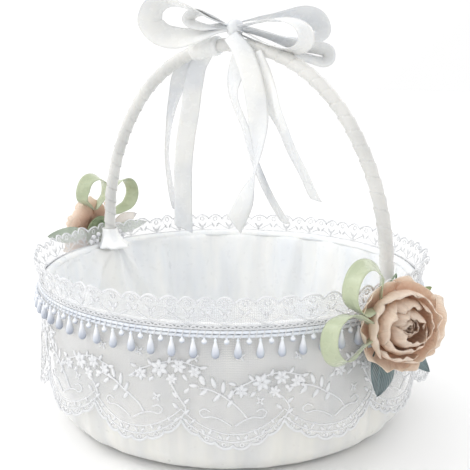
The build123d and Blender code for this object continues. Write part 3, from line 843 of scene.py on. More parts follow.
def skirt_sprig(work, middle, stray):
    """Leafy sprig that curls over in the middle of a wave."""
    sprig = middle - 3.4 + stray
    stem = [(middle + 3.4, 41), (middle + 1.6, 46)]
    stem += [(sprig + 1.6, 51.5), (sprig - 1.8, 55.5), (sprig - 5.0, 57)]
    vine(work, on_skirt, stem, 0.5)
    for a, z, turn, size in (
        (2.4, 53.6, 1.2, 6.4), (0.6, 57.2, 1.5, 7.4), (-1.8, 59.6, 1.9, 7.0), (-4.6, 60.0, 2.3, 5.6),
        (-6.8, 57.4, 3.1, 5.4), (-4.2, 54.0, 3.8, 6.0), (-1.0, 51.4, 4.0, 6.4), (2.2, 48.6, 4.1, 5.4),
    ):
        place_lens(work, on_skirt, math.radians(sprig + a), z + stray, turn, size, 2.4, 0.75)


def skirt_stem(work, cusp, flower, level):
    """Leafy stem from the cusp between two waves up to the flower cluster."""
    vine(work, on_skirt, [(cusp, 39), (cusp + 1.2, 45), (cusp - 0.6, 51), (flower + 1.0, level - 5)], 0.5, 30)
    for z, side in ((43, 1), (46, -1), (49, 1), (52, -1), (55, 1)):
        at = math.radians(cusp + side * 1.5)
        place_lens(work, on_skirt, at, z, math.pi / 2 - side * 0.8, 4.6, 2.0, 0.65)


def skirt_flowers(work, flower, level, rng):
    """Cluster of five six-petalled flowers with leaves and an arching stem."""
    for a, rise, size in (
        (-6.4, -3.6, 0.85), (-1.4, 0.6, 1.15), (3.6, 2.6, 0.95), (7.6, 0.2, 0.8), (1.8, -4.6, 0.75),
    ):
        spin = rng.uniform(0, TAU)
        for b in circle(6) + spin:
            t = math.radians(flower + a) + 2.5 * size * math.cos(b) / LACE_R
            z = level + rise + 2.5 * size * math.sin(b)
            place_lens(work, on_skirt, t, z, b, 4.2 * size, 2.7 * size, 0.8)
        eyelet(work, on_skirt, math.radians(flower + a), level + rise, 0.7 * size, 0.42)
    for a, rise, turn in (
        (-4.0, 3.2, 2.2), (-8.6, 0.2, 2.9), (-9.0, -5.4, 3.6), (-3.6, -5.6, 3.9), (5.2, -3.4, 5.3),
        (1.2, 5.6, 1.3), (6.2, 6.0, 0.9), (9.8, 2.6, 0.3), (9.4, -3.0, 5.6),
    ):
        place_lens(work, on_skirt, math.radians(flower + a), level + rise, turn, 4.6, 2.0, 0.6)
    arch = [(-9.0, -5), (-6.4, -1), (-1.4, 3.4), (3.6, 5.4), (7.6, 3.4), (10.2, 2)]
    vine(work, on_skirt, [(flower + a, level + rise) for a, rise in arch], 0.4, 50)


def skirt_spots(work, middle):
    """Small four-petalled spots on the open net."""
    for a, z in ((middle - 9.4, 73), (middle + 1.8, 74), (middle + 6.6, 50)):
        eyelet(work, on_skirt, math.radians(a), z, 0.8, 0.36)
        for b in circle(4) + 0.6:
            t = math.radians(a) + 1.8 * math.cos(b) / LACE_R
            place_lens(work, on_skirt, t, z + 1.8 * math.sin(b), b, 2.2, 1.3, 0.4)


def build_skirt():
    """Lace skirt: a sheer net with a waved edge, and its embroidery."""
    cols = WAVES * 72
    theta = circle(cols)
    edge = skirt_edge(theta)
    shares = np.linspace(0, 1, 30) ** 0.9
    grid = np.array([on_skirt(theta, SKIRT_TOP + (edge - SKIRT_TOP) * share) for share in shares])
    mesh = shell(grid, 0.3, wrap=True, uv=lace_uv(cols, SKIRT_TOP - grid[:, :, 2]))
    net_obj = make_object("lace_skirt_net", *mesh, lace_net, "basket", "lace", ["lace_skirt"])

    work = Batch()
    ring = circle(2 * cols)
    smooth = wave_low(wave_phase(ring))
    work.add(*tube(on_skirt(ring, skirt_edge(ring), 0.1), 0.75, 6, closed=True))
    work.add(*tube(on_skirt(ring, smooth + 3.4, 0.2), 0.42, 5, closed=True))
    work.add(*tube(on_skirt(ring, smooth + 7.6, 0.2), 0.36, 5, closed=True))
    rng = np.random.default_rng(5)
    pitch = 360 / WAVES
    for wave in range(WAVES):
        middle = wave * pitch
        cusp = middle + pitch / 2
        skirt_edging(work, middle, pitch)
        skirt_sprig(work, middle, rng.uniform(-0.7, 0.7))
        flower = cusp - 4.0 + rng.uniform(-0.6, 0.6)
        level = 63.0 + (-3.5, 2.0)[wave % 2] + rng.uniform(-1, 1)
        skirt_stem(work, cusp, flower, level)
        skirt_flowers(work, flower, level, rng)
        skirt_spots(work, middle)
    thread = work.build("lace_skirt_embroidery", lace_thread, "basket", "lace")


def build_collar():
    """Lace collar: a scalloped net that stands up from the rim, and its embroidery."""
    cols = SCALLOPS * 14
    theta = circle(cols)
    top = collar_top(theta)
    shares = np.linspace(0, 1, 16)
    grid = np.array([on_collar(theta, COLLAR_LOW + (top - COLLAR_LOW) * share) for share in shares])
    mesh = shell(grid[::-1], 0.3, wrap=True, uv=lace_uv(cols, grid[:, :, 2] - COLLAR_LOW)[::-1])
    net_obj = make_object("lace_collar_net", *mesh, lace_net, "basket", "lace", ["lace_collar"])

    work = Batch()
    ring = circle(2 * cols)
    work.add(*tube(on_collar(ring, collar_top(ring), 0.0), 0.6, 6, closed=True))
    work.add(*tube(on_collar(ring, 90.4 + 0 * ring, 0.2), 0.5, 5, closed=True))
    for k in range(SCALLOPS):
        t = (k + 0.5) * TAU / SCALLOPS
        t = t - 0.22 * math.sin(7 * t + 1.0) * TAU / SCALLOPS
        height = float(collar_top(np.array([t]))[0]) - 1.4
        eyelet(work, on_collar, t, height - 1.9, 1.45, 0.34)
        for lean in (-1, 1):
            at = t + lean * 1.9 / 122
            place_lens(work, on_collar, at, height - 6.6, math.pi / 2 - lean * 0.6, 4.4, 1.5, 0.5)
        if k % 2:
            place_lens(work, on_collar, t, height - 8.6, math.pi / 2, 4.4, 1.5, 0.5)
            a = math.degrees(t)
            vine(work, on_collar, [(a - 4.0, 95.4), (a, 91.6), (a + 4.0, 95.4)], 0.34, 14)
    thread = work.build("lace_collar_embroidery", lace_thread, "basket", "lace")


def build_trim_cords():
    """Two twisted cords with the stitches that hold them and a row of loops above."""
    theta = circle(1900)
    angle = circle(10)
    for name, height, turns in (("trim_cord_upper", CORD_TOP, 250), ("trim_cord_lower", CORD_LOW, -250)):
        lobes = 0.88 + 0.11 * np.cos(3 * angle[None, :] - turns * theta[:, None])
        batch = Batch()
        batch.add(*tube(polar(CORD_R, theta, height), lobes, 10, closed=True))
        batch.build(name + "_rope", cord_thread, "basket", "cord", [name])
    stitches = Batch()
    turn = np.linspace(-1.5, 1.5, 7)
    r = CORD_R + 1.12 * np.cos(turn)
    z = 0.5 * (CORD_TOP + CORD_LOW) + 2.0 * np.sin(turn / 1.5 * math.pi / 2)
    lean = 0.6 * np.sin(turn) / CORD_R
    for t in circle(204):
        stitches.add(*tube(polar(r, t + lean, z), 0.36, 5))
    wave = circle(2400)
    bob = np.abs(np.sin(96 * wave))
    for height, size, radius, r in ((88.9, 1.5, 0.42, CORD_R + 0.25), (89.0, 0.0, 0.5, CORD_R)):
        stitches.add(*tube(polar(r, wave, height + size * bob), radius, 6, closed=True))
    stitches.build("trim_stitches", lace_thread, "basket", "cord")


def put(batch, shape, r, t, z, scale=1.0):
    """Sets an upright shape at radius r, angle t and height z."""
    verts, faces, uvs = shape
    moved = verts * [scale, scale, 1] + [r, 0, z]
    world = np.stack([moved[:, 0] * math.cos(t) - moved[:, 1] * math.sin(t),
                      moved[:, 0] * math.sin(t) + moved[:, 1] * math.cos(t), moved[:, 2]], 1)
    batch.add(world, faces, uvs)


def build_fringe():
    """Teardrop pearls and round beads on their threads, one mesh for each length."""
    low = CORD_LOW - 1.3 - DROP_TALL
    drop = lathe([(0, 0), (0.75, 0.12), (1.4, 0.5), (1.9, 1.15), (2.15, 2.0), (2.18, 2.9), (2.02, 4.0),
                  (1.72, 5.3), (1.34, 6.7), (0.98, 8.0), (0.72, 9.1), (0.6, 9.8), (0, DROP_TALL)], 18)
    bead = lathe([(BEAD_R * math.sin(a), BEAD_R * (1 - math.cos(a))) for a in np.linspace(0, math.pi, 9)], 14)
    cap = lathe([(0, 0), (0.75, 0.1), (0.8, 0.5), (0.55, 0.95), (0, 1.1)], 10)
    pitch = TAU / DROPS

    def build_length(indices, r, name, body, node):
        pearls = Batch()
        threads = Batch()
        for k in indices:
            for t in (k * 4 + np.arange(4) + 0.5) * pitch:
                between = t + pitch / 2
                put(pearls, drop, r, t, low)
                put(threads, cap, r, t, low + 9.5)
                put(pearls, bead, r, between, CORD_LOW - 0.8 - 2 * BEAD_R)
                put(threads, cap, r, between, CORD_LOW - 1.3, 0.8)
                for at, bottom in ((t, low + DROP_TALL), (between, CORD_LOW - 0.7)):
                    line = polar(r, at, np.linspace(bottom, CORD_LOW + 0.1, 3))
                    threads.add(*tube(line, 0.3, 6))
        pearls.build(name, pearl_skin, body, "pearl", [node])
        threads.build(name + "_threads", cord_thread, body, "cord")

    build_length(PINNED, PINNED_R, "pearls_pinned", "basket", "pearl_fringe_pinned")
    for k in range(LENGTHS):
        if k not in PINNED:
            tag = f"{k:02d}"
            build_length([k], FRINGE_R, "pearls_" + tag, "fringe_" + tag, "pearl_fringe_" + tag)


build_skirt()
build_collar()
build_trim_cords()
build_fringe()


# ---------------------------------------------------------------- handle

def arc_points(centre, radius, start, end, count):
    return [centre + radius * np.array([math.cos(a), math.sin(a)]) for a in np.linspace(start, end, count)]


def handle_line():
    """Points of the handle's centre line, from the near leg over the crown to the far leg."""
    lean, rise = math.cos(TILT), math.sin(TILT)
    drop = CROWN_R - (HANDLE_TOP - RIM_Z)
    flank = (LEG_X ** 2 + drop ** 2 - CROWN_R ** 2) / (2 * (LEG_X * lean - drop * rise - CROWN_R))
    flank_c = np.array([LEG_X - flank * lean, RIM_Z + flank * rise])
    crown_c = np.array([0.0, HANDLE_TOP - CROWN_R])
    toward = 1 if flank > CROWN_R else -1
    reach = math.hypot(flank_c[0], crown_c[1] - flank_c[1])
    join = np.array([-toward * CROWN_R * flank_c[0] / reach,
                     crown_c[1] + toward * CROWN_R * (crown_c[1] - flank_c[1]) / reach])
    leg = [(LEG_X - d * rise, RIM_Z - d * lean) for d in np.linspace(20, 0.8, 20)]
    foot_turn = math.atan2(RIM_Z - flank_c[1], LEG_X - flank_c[0])
    join_turn = math.atan2(join[1] - flank_c[1], join[0] - flank_c[0])
    side = arc_points(flank_c, flank, foot_turn, join_turn, 60)
    crown_turn = math.atan2(join[1] - crown_c[1], join[0] - crown_c[0])
    top = arc_points(crown_c, CROWN_R, crown_turn, math.pi / 2, 110)[1:]
    half = np.array([*leg, *side, *top])
    whole = np.concatenate([half, (half * [-1, 1])[::-1][1:]])
    return spline(np.stack([whole[:, 0], 0 * whole[:, 0], whole[:, 1]], 1), 900)


def build_handle():
    """Satin ribbon wound round the handle, each turn lapping the last."""
    path = handle_line()
    run = np.arange(len(path)) * np.linalg.norm(path[1] - path[0])
    kink = ripple(61, 5, 22, 7)
    fold = ripple(62, 30, 90, 8)
    share = run / run[-1] * TAU
    path[:, 1] += 0.28 * kink(share) * np.interp(run, [0, 25, run[-1] - 25, run[-1]], [0, 1, 1, 0])
    sides = 28
    angle = circle(sides)
    lap = 9.4
    turn = (run[:, None] / lap + angle[None, :] / TAU) % 1
    pucker = 0.12 * fold(share[:, None] + 0.2 * angle[None, :])
    radius = HANDLE_R - 0.62 + 0.6 * turn ** 1.3 + pucker - 0.22 * np.exp(-((turn - 0.03) / 0.035) ** 2)
    batch = Batch()
    batch.add(*tube(path, radius, sides))
    batch.build("handle_ribbon", wrap_satin, "basket", "satin", ["handle_wrap"])


# ---------------------------------------------------------------- ribbons

def smoothed(values, reach):
    """Running mean over reach points to each side."""
    count = 2 * reach + 1
    return np.convolve(np.pad(values, reach, mode="edge"), np.ones(count) / count, "valid")


def ribbon(stations, width, count, cup, seed, narrow, cut=0.0, roll=None):
    """Flat ribbon through (x, y, z, heading in degrees) stations, with soft cross curl.

    narrow and roll are tables along the ribbon: share of the width, and degrees of roll.
    cut slants the free end.
    """
    rows = spline(stations, count)
    points = rows[:, :3]
    tangent = unit(np.gradient(points, axis=0))
    turn = np.radians(rows[:, 3])
    across = np.stack([np.cos(turn), np.sin(turn), 0 * turn], 1)
    across = unit(across - tangent * (across * tangent).sum(1, keepdims=True))
    face = np.cross(across, tangent)
    rng = np.random.default_rng(seed)
    share = np.linspace(0, 1, count)
    if roll is not None:
        lean = smoothed(np.radians(np.interp(share, *roll)), 6)[:, None]
        outward = smoothed(np.sign(((points - points.mean(0)) * face).sum(1)), 4)[:, None]
        spare = 0.5 * width * np.sin(np.abs(lean)) - 1.5
        points = points - face * outward * np.maximum(spare, 0)
        across, face = (across * np.cos(lean) + face * np.sin(lean),
                        face * np.cos(lean) - across * np.sin(lean))
    cols = 9
    side = np.linspace(-0.5, 0.5, cols)
    wide = width * np.interp(share, *narrow)
    curl = cup * (0.6 + 0.4 * np.sin(TAU * (share * 1.7 + rng.uniform())))
    grid = points[:, None] + across[:, None] * (side[None, :, None] * wide[:, None, None])
    crimp = 0.18 * np.sin(TAU * (3.3 * share[:, None] + side[None, :] + rng.uniform()))
    bend = curl[:, None] * (side[None, :] ** 2 * 4 - 0.4) + crimp
    grid = grid + face[:, None] * bend[..., None]
    tip = np.clip((share - 0.93) / 0.07, 0, 1)
    grid = grid + tangent[:, None] * (tip[:, None, None] * (side[None, :, None] * cut))
    step = np.linalg.norm(points[1] - points[0]) / 10
    uv = np.stack(np.meshgrid(side * width / 10, np.cumsum(np.full(count, step))), -1)
    return shell(grid, 0.32, uv=uv)


def length_of(stations):
    """A ribbon's length along its stations."""
    return run_length(spline([station[:3] for station in stations], 200))


def build_tails():
    """The bow's five hanging tails, cut on a slant."""
    narrow = ([0, 0.05, 0.14, 1], [0.72, 0.84, 1.0, 1.0])
    tails = {
        "a": ("tails_left", 0.9, 71, [
            (-29, 9.6, 227, 6), (-41, 10.8, 221.5, 20), (-51, 11.8, 213, 52), (-57.5, 13, 200, 88),
            (-62.5, 13, 184, 108), (-65.3, 13, 166, 118), (-65.4, 13, 150, 118), (-63, 13, 134, 115),
            (-57, 13, 119, 110)]),
        "b": ("tails_left", 0.7, 72, [
            (-25, 8.0, 228, 6), (-34, 8.9, 219, 24), (-38.5, 9.4, 206, 38), (-41.5, 9.6, 190, 38),
            (-45.5, 9.6, 172, 38), (-48.3, 9.6, 152, 38), (-48.8, 9.6, 130, 38), (-48.7, 9.6, 108, 38)]),
        "c": ("tail_c", 0.8, 73, [
            (11.5, -5.4, 228, 8), (9.6, -7.2, 216, 0), (8.6, -8.4, 205, -24), (11, -8.6, 196, -32),
            (17, -8.6, 183, -32), (23.4, -8.6, 167, -32), (33, -8.6, 148, -30), (48, -8.6, 127, -30)]),
        "d": ("tail_d", 1.0, 74, [
            (7, -8.8, 237.2, 16), (17, -12, 230, 30), (25, -14.5, 219, 36), (31, -17, 206, 34),
            (35, -18.5, 190, 20), (35.5, -19.5, 174, -20), (33, -19.5, 158, -50), (26, -19.5, 139, 0),
            (18, -19.5, 124, 15)]),
        "e": ("tail_e", 0.8, 75, [
            (23.5, -6.4, 227, 4), (28.5, -8.6, 217, 15), (36, -10.5, 204, 0), (45, -12.5, 189, -25),
            (56, -13.5, 170, -30), (65, -14, 157, -30), (73, -14, 144, -30)]),
    }
    for key, (body, cup, seed, stations) in tails.items():
        mesh = ribbon(stations, RIBBON, 150, cup, seed, narrow, cut=6.0)
        obj = make_object("ribbon_tail_" + key, *mesh, ribbon_satin, body, "ribbon_satin",
                          ["bow_tail_" + key])
        length_of(stations) * MM


def rounded(values, power):
    return np.sign(values) * np.abs(values) ** power


def build_knot():
    """Pleated, slightly square knot, closed at both ends."""
    cols = 40
    angle = circle(cols)
    pleats = ripple(81, 3, 9, 5)
    rings = []
    for a in np.linspace(-math.pi / 2, math.pi / 2, 26):
        z = 5.3 * math.sin(a)
        crease = 1 - 0.10 * (1 + pleats(angle, z * 0.35)) * math.cos(a) ** 0.5
        r = 5.5 * max(math.cos(a), 1e-3) ** 0.7 * crease
        rings.append(np.stack([4.5 + r * rounded(np.cos(angle), 0.86),
                               -1.0 + r * rounded(np.sin(angle), 0.86), 241.7 + z + 0 * r], 1))
    verts = np.array(rings).reshape(-1, 3)
    index = lapped(np.arange(len(verts)).reshape(-1, cols))
    faces = corners(index).reshape(-1, 4).tolist()
    uvs = [[[(i % cols) / 10, (i // cols) / 10] for i in face] for face in faces]
    faces += [index[0, :-1][::-1].tolist(), index[-1, :-1].tolist()]
    uvs += [[[0, 0]] * cols, [[0, 2.6]] * cols]
    knot = Batch()
    knot.add(verts, faces, uvs)
    knot.build("bow_knot_satin", ribbon_satin, "basket", "ribbon_satin", ["bow_knot"])


def build_band():
    """Ribbon wound round the handle beside the knot."""
    count = 60
    turn = np.linspace(8.6 / CROWN_R, 29.9 / CROWN_R, count)
    path = np.stack([-CROWN_R * np.sin(turn), 0 * turn, HANDLE_TOP - CROWN_R + CROWN_R * np.cos(turn)], 1)
    sides = 36
    angle = circle(sides)
    along = np.arange(count)[:, None] / count
    lap = (along * 3.2 + angle[None, :] / TAU) % 1
    crease = ripple(82, 3, 11, 5)
    radius = 5.5 + 0.75 * lap ** 1.4 + 0.22 * crease(angle[None, :] + along * 7)
    radius = radius * np.interp(along, [0, 0.06, 0.94, 1], [0.9, 1, 1, 0.9])
    band = Batch()
    band.add(*tube(path, radius, sides))
    band.build("bow_band_satin", ribbon_satin, "basket", "ribbon_satin", ["bow_band"])


def build_loops():
    """The bow's five loops: heading, seed, width, roll along the loop, and (reach, height) points."""
    loops = {
        "left_large": (205, 83, 17.5, ([0, 0.25, 0.5, 0.7, 1], [38, 52, 48, 14, 0]), [
            (3.2, 238.6), (11, 237.5), (24, 233), (37, 231), (50, 234.5), (58.3, 245), (54, 256),
            (44, 259.4), (30, 254.5), (14, 247), (3.4, 243.2)]),
        "left_small": (203, 84, 10.5, ([0, 0.5, 1], [20, 30, 0]), [
            (4.2, 241.6), (12, 242.2), (21, 242.8), (28.4, 244.6), (30.4, 247.6), (27.5, 250.8),
            (22, 251.4), (13, 247.6), (4.4, 243.4)]),
        "right_top": (60, 85, 14.0, ([0, 0.4, 0.6, 0.8, 1], [0, -20, -42, -30, 0]), [
            (4.4, 243.2), (12, 241.5), (28, 238), (44, 235), (54, 235), (60.5, 238.5), (61.6, 244),
            (57, 251), (47, 253.6), (31, 251), (14, 247.4), (4.6, 245.6)]),
        "right_front": (-2, 86, 12.5, ([0, 0.3, 0.6, 1], [10, 20, 12, 0]), [
            (3.8, 240.2), (14, 236.5), (28, 230), (41, 227.4), (49.5, 229.5), (52.8, 235), (48, 242.4),
            (35, 246), (18, 244.4), (4.2, 242.4)]),
        "right_low": (36, 87, 12.0, ([0, 0.4, 0.6, 1], [0, -30, -40, -10]), [
            (4.2, 237.6), (16, 233), (30, 227.6), (44, 223.6), (54, 220.4), (59, 223), (58.2, 229),
            (51, 232), (36, 233.6), (18, 237.4), (4.4, 240.0)]),
    }
    narrow = ([0, 0.10, 0.3, 0.7, 0.90, 1], [0.42, 0.72, 1, 1, 0.72, 0.42])
    for key, (heading, seed, width, roll, points) in loops.items():
        a = math.radians(heading)
        stations = [(4.5 + r * math.cos(a), -1.5 + r * math.sin(a), z, heading + 90) for r, z in points]
        mesh = ribbon(stations, width, 120, 1.3, seed, narrow, roll=roll)
        obj = make_object("bow_ribbon_" + key, *mesh, ribbon_satin, "basket", "ribbon_satin",
                          ["bow_loop_" + key])
        length_of(stations) * MM


build_handle()
build_knot()
build_band()
build_loops()
build_tails()


# ---------------------------------------------------------------- flowers

def flower_frame(heading, height, turn=0.0, tilt=4.0):
    """Origin and axes of a flower: across, up and out. turn swings its face round from the CAD's."""
    a = math.radians(heading)
    away = FRINGE_REACH + PAD_GAP + PAD_THICK + PAD_R * math.sin(math.radians(4.0))
    b = math.radians(heading + turn)
    lean = math.radians(tilt)
    out = np.array([math.cos(b) * math.cos(lean), math.sin(b) * math.cos(lean), math.sin(lean)])
    x = np.array([-math.sin(b), math.cos(b), 0])
    return np.array([math.cos(a) * away, math.sin(a) * away, height]), x, np.cross(out, x), out


def in_flower(place, points):
    """Points of a flower's own frame, in the basket's."""
    origin, x, y, z = place
    points = np.asarray(points, float)
    return origin + points[..., :1] * x + points[..., 1:2] * y + points[..., 2:3] * z


def petal(place, heading, half, root, belly, tip, seed, curl, ruffle):
    """Cupped petal: root, belly and tip are (radius, height) about the flower's axis."""
    rng = np.random.default_rng(seed)
    rows, cols = 18, 21
    v = np.linspace(0, 1, rows)[:, None]
    u = np.linspace(-1, 1, cols)[None, :]
    wide = (0.42 + 0.58 * np.sin(np.clip(v * 1.18, 0, 1) * math.pi / 2) ** 0.8) * half
    wide = wide * np.sqrt(np.clip(1 - (np.clip(v - 0.62, 0, 1) / 0.52) ** 2, 0.25, 1))
    angle = heading + wide * u + 0.10 * rng.uniform(-1, 1) * v
    r = (1 - v) ** 2 * root[0] + 2 * v * (1 - v) * belly[0] + v ** 2 * tip[0]
    h = (1 - v) ** 2 * root[1] + 2 * v * (1 - v) * belly[1] + v ** 2 * tip[1]
    edge = np.clip((v - 0.62) / 0.38, 0, 1) ** 2
    r = r + curl * edge * (0.7 + 0.3 * np.abs(u)) + 0.9 * v * u * np.sign(rng.uniform(-1, 1))
    h = h - 0.35 * curl * edge - (np.abs(u) ** 3) * v ** 2 * (0.13 * (tip[1] - root[1]) + 0.8)
    wave = np.sin(u * rng.uniform(3.0, 5.0) + rng.uniform(0, TAU)) * 0.6
    wave = wave + np.sin(u * rng.uniform(7, 10) + rng.uniform(0, TAU)) * 0.4
    r = r + ruffle * edge * wave + 0.25 * np.sin(u * 11 + v * 5 + rng.uniform(0, TAU)) * v
    h = h + 0.8 * ruffle * edge * np.sin(u * rng.uniform(4, 7) + rng.uniform(0, TAU))
    return shell(in_flower(place, polar(r, angle, h)), 0.28, uv=even_uv(rows, cols))


def build_rose(prefix, heading, height, seed, turn):
    """Full rose: broad cupped petals in offset rings round a rolled heart."""
    place = flower_frame(heading, height, turn, 8.0)
    rng = np.random.default_rng(seed)
    # each ring: how many, first heading, half width, root, belly, tip, curl, ruffle
    layers = {
        "rose_outer": (petal_outer, "organza", [
            (6, 0.0, 0.74, (9.6, 6.2), (26.0, 5.0), (22.0, 15.5), 2.6, 1.4),
            (5, 0.5, 0.86, (8.2, 5.4), (25.0, 8.0), (17.0, 20.5), 1.0, 1.2)]),
        "rose_inner": (petal_inner, "rose_heart", [
            (5, 0.2, 0.92, (6.6, 5.2), (21.0, 9.5), (10.8, 23.0), 0.7, 1.0),
            (4, 0.7, 1.05, (4.8, 5.2), (16.0, 12.0), (6.2, 24.6), 0.4, 0.8),
            (3, 0.1, 1.3, (3.4, 5.2), (10.6, 12.0), (2.6, 24.4), 0.2, 0.5)]),
    }
    for name, (material, slot, rings) in layers.items():
        batch = Batch()
        for count, start, half, root, belly, tip, curl, ruffle in rings:
            for k in range(count):
                at = start + k * TAU / count + rng.uniform(-0.16, 0.16)
                grow = rng.uniform(-1.6, 1.2)
                end = (tip[0] + grow, tip[1] + rng.uniform(-2.2, 1.0))
                batch.add(*petal(place, at, half * rng.uniform(0.92, 1.1), root, belly, end,
                                 int(rng.integers(1, 9999)), curl * rng.uniform(0.4, 1.5), ruffle))
        batch.build(f"{prefix}_{name}", material, "basket", slot, [f"{prefix}_{name}_petals"])
    rows, cols = 12, 80
    v = np.linspace(0, 1, rows)[:, None]
    u = np.linspace(0, 1, cols)[None, :]
    angle = u * TAU * 2.3
    r = (0.6 + 3.4 * u) * (0.72 + 0.5 * np.sin(v * math.pi * 0.8)) - 0.2 * v
    h = 5.0 + v * (14.5 - 1.2 * u + 0.7 * np.sin(angle * 1.5))
    bud = Batch()
    bud.add(*shell(in_flower(place, polar(r, angle, h)), 0.3, uv=even_uv(rows, cols)))
    bud.build(prefix + "_rose_bud_roll", petal_inner, "basket", "rose_heart", [prefix + "_rose_bud"])
    return flower_frame(heading, height)


def leaf_mesh(place, start, heading, length, width, lean, seed):
    """Pointed leaf folded along its midrib, bending a little toward its tip."""
    rows, cols = 22, 9
    t = np.linspace(0, 1, rows)[:, None]
    s = np.linspace(-1, 1, cols)[None, :]
    half = width / 2 * np.sin(t ** 0.8 * math.pi) ** 0.75 + 0.05
    a = math.radians(heading)
    tip = math.radians(lean)
    rng = np.random.default_rng(seed)
    along = PAD_R + 0.4 + length * t * math.cos(tip)
    rise = start + length * t * math.sin(tip) + 0.07 * length * t ** 2 + 0.20 * np.abs(s) * half
    rise = rise + 0.3 * np.sin(s * 3 + t * 9 + rng.uniform(0, 6)) * t
    side = half * s
    x = along * math.cos(a) - side * math.sin(a)
    y = along * math.sin(a) + side * math.cos(a)
    return shell(in_flower(place, np.stack([x, y, rise + 0 * x], -1)), 0.3, uv=even_uv(rows, cols))


def green_loop(place, heading, reach, end_radius, seed, roll):
    """Ribbon loop: a teardrop in the flower's plane with the ribbon's width facing out."""
    start = 17.3
    count = 120
    centre = reach - end_radius
    bend = [(centre + end_radius * math.cos(turn), end_radius * math.sin(turn))
            for turn in np.linspace(-1, 1, 15) * math.radians(118)]
    neck = (0.3 * centre, 0.46 * end_radius)
    points = [(0.2, -1.0), (neck[0], -neck[1]), *bend, neck, (0.2, 1.0)]
    curve = spline([(x, y, 0) for x, y in points], count)
    tangent = unit(np.gradient(curve, axis=0))
    normal = np.stack([tangent[:, 1], -tangent[:, 0]], 1)
    rng = np.random.default_rng(seed)
    share = np.linspace(0, 1, count)[:, None]
    side = np.linspace(-0.5, 0.5, 9)[None, :]
    wide = GREEN_RIBBON * np.interp(share, [0, 0.1, 0.28, 0.72, 0.9, 1], [0.5, 0.78, 1, 1, 0.78, 0.5])
    lean = np.radians(np.interp(share, *roll))
    lift = 4.2 + side * wide * np.cos(lean) + 0.5 * np.sin(TAU * share + rng.uniform(0, 6))
    curl = 0.5 * (side ** 2 * 4 - 0.4) * np.sin(share * math.pi) + 0.15 * np.sin(TAU * (4 * share + side))
    curl = curl + side * wide * np.sin(lean) - 0.5 * wide * np.abs(np.sin(lean))
    x = start + curve[:, :1] + normal[:, :1] * curl
    y = curve[:, 1:2] + normal[:, 1:] * curl
    a = math.radians(heading)
    local = np.stack([x * math.cos(a) - y * math.sin(a), x * math.sin(a) + y * math.cos(a), lift], -1)
    run = run_length(curve)
    uv = np.stack(np.meshgrid(side[0], share[:, 0] * run / 10), -1)
    return shell(in_flower(place, local), 0.32, uv=uv), run


near = build_rose("near", -10, 84, 91, -22)
far = build_rose("far", 178, 96, 92, 10)
for name, place, heading, reach, end_radius, seed, roll in (
    ("near_loop_upper", near, 134, 30.5, 14.6, 101, ([0, 0.3, 0.5, 0.8, 1], [-40, -42, -14, 12, 0])),
    ("near_loop_lower", near, 180, 37.6, 13.8, 102, ([0, 0.3, 0.6, 0.85, 1], [0, 8, -22, -36, -10])),
    ("far_loop_left", far, 84, 27.0, 12.6, 103, ([0, 0.3, 0.6, 1], [0, 34, 16, 0])),
    ("far_loop_right", far, 136, 32.6, 12.6, 104, ([0, 0.4, 0.7, 1], [0, -16, -38, -20])),
):
    mesh, run = green_loop(place, heading, reach, end_radius, seed, roll)
    obj = make_object(name + "_ribbon", *mesh, green_satin, "basket", "green_satin", [name])

# each group: name, material, slot, replaced nodes, and (flower, start, heading, length, width, lean, seed)
for name, material, slot, nodes, leaves in (
    ("near_leaf_dark", leaf_dark, "leaf_fabric", ["near_leaves"],
     [(near, -0.6, -118, 27, 22, 8, 111), (near, -0.7, -52, 29, 11, 12, 112)]),
    ("near_leaf_olive", leaf_olive, "leaf_fabric", [], [(near, -0.7, 20, 25, 10, 2, 113)]),
    ("far_leaf_pale", leaf_pale, "leaf_fabric", ["far_leaves"],
     [(far, -0.7, 5, 33, 12, 2, 114), (far, -0.7, 180, 39, 9, 2, 115)]),
    ("far_organza_end", organza_white, "ribbon_satin", ["far_organza"], [(far, 0.4, 170, 31, 12, 6, 116)]),
):
    batch = Batch()
    for leaf in leaves:
        batch.add(*leaf_mesh(*leaf))
    batch.build(name, material, "basket", slot, nodes)


# ---------------------------------------------------------------- studio

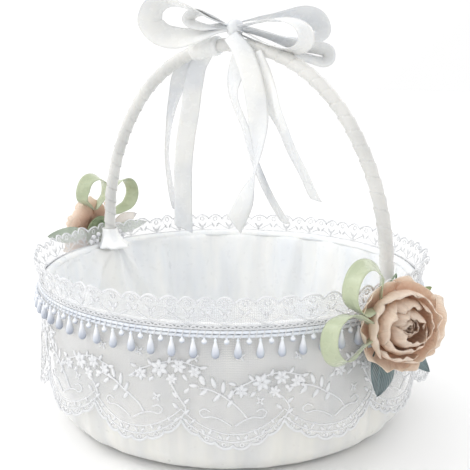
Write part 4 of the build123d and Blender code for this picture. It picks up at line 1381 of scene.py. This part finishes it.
floor_mesh = bpy.data.meshes.new("studio_floor")
floor_corners = [(x, y, -0.0002) for x, y in ((-6, -6), (6, -6), (6, 6), (-6, 6))]
floor_mesh.from_pydata(floor_corners, [], [(0, 1, 2, 3)])
floor = bpy.data.objects.new("studio_floor", floor_mesh)
bpy.context.scene.collection.objects.link(floor)
paper = Shader("studio_paper")
cloudy = paper.noise(paper.coords("Object"), 3.0)
tint = paper.drifting(cloudy, (0.95, 0.95, 0.95), (0.93, 0.93, 0.93), 0.3, 0.7)
matt = paper.add("BsdfPrincipled", {"Base Color": tint, "Roughness": 0.9})
floor_mesh.materials.append(paper.finish(matt.outputs[0]))

world = bpy.data.worlds.new("studio_world")
bpy.context.scene.world = world
world.use_nodes = True
sky = world.node_tree
backdrop = sky.nodes["Background"]
direction = sky.nodes.new("ShaderNodeTexCoord")
toward = sky.nodes.new("ShaderNodeVectorMath")
toward.operation = "DOT_PRODUCT"
toward.inputs[1].default_value = (-0.62, -0.18, 0.76)
level = sky.nodes.new("ShaderNodeMapRange")
level.inputs["From Min"].default_value = 0.1
level.inputs["From Max"].default_value = 0.9
level.inputs["To Min"].default_value = 1.0
level.inputs["To Max"].default_value = 1.3
sky.links.new(direction.outputs["Generated"], toward.inputs[0])
sky.links.new(toward.outputs["Value"], level.inputs["Value"])
sky.links.new(level.outputs[0], backdrop.inputs["Strength"])
backdrop.inputs["Color"].default_value = (1.0, 1.0, 1.0, 1)


def soft_light(name, place, size, power, colour=(1, 1, 1)):
    data = bpy.data.lights.new(name, "AREA")
    data.shape = "DISK"
    data.size = size
    data.energy = power
    data.color = colour
    obj = bpy.data.objects.new(name, data)
    obj.location = place
    aim = Vector((0, 0, 0.1)) - Vector(place)
    obj.rotation_euler = aim.to_track_quat("-Z", "Y").to_euler()
    bpy.context.scene.collection.objects.link(obj)


soft_light("key", (-0.75, -0.55, 1.0), 0.35, 3.4, (1.0, 0.985, 0.96))
soft_light("back", (0.2, 1.1, 0.9), 0.5, 1.6)

camera_data = bpy.data.cameras.new("camera")
camera_data.lens = 60.66
camera_data.sensor_width = 36.0
camera_data.shift_x = 0.010
camera_data.shift_y = 0.0128
camera = bpy.data.objects.new("camera", camera_data)
camera.location = (0.3095, -0.3975, 0.2195)
look = Vector((0, 0, 0.1078)) - camera.location
camera.rotation_euler = look.to_track_quat("-Z", "Y").to_euler()
bpy.context.scene.collection.objects.link(camera)
bpy.context.scene.camera = camera
bpy.context.scene.view_settings.view_transform = "Standard"
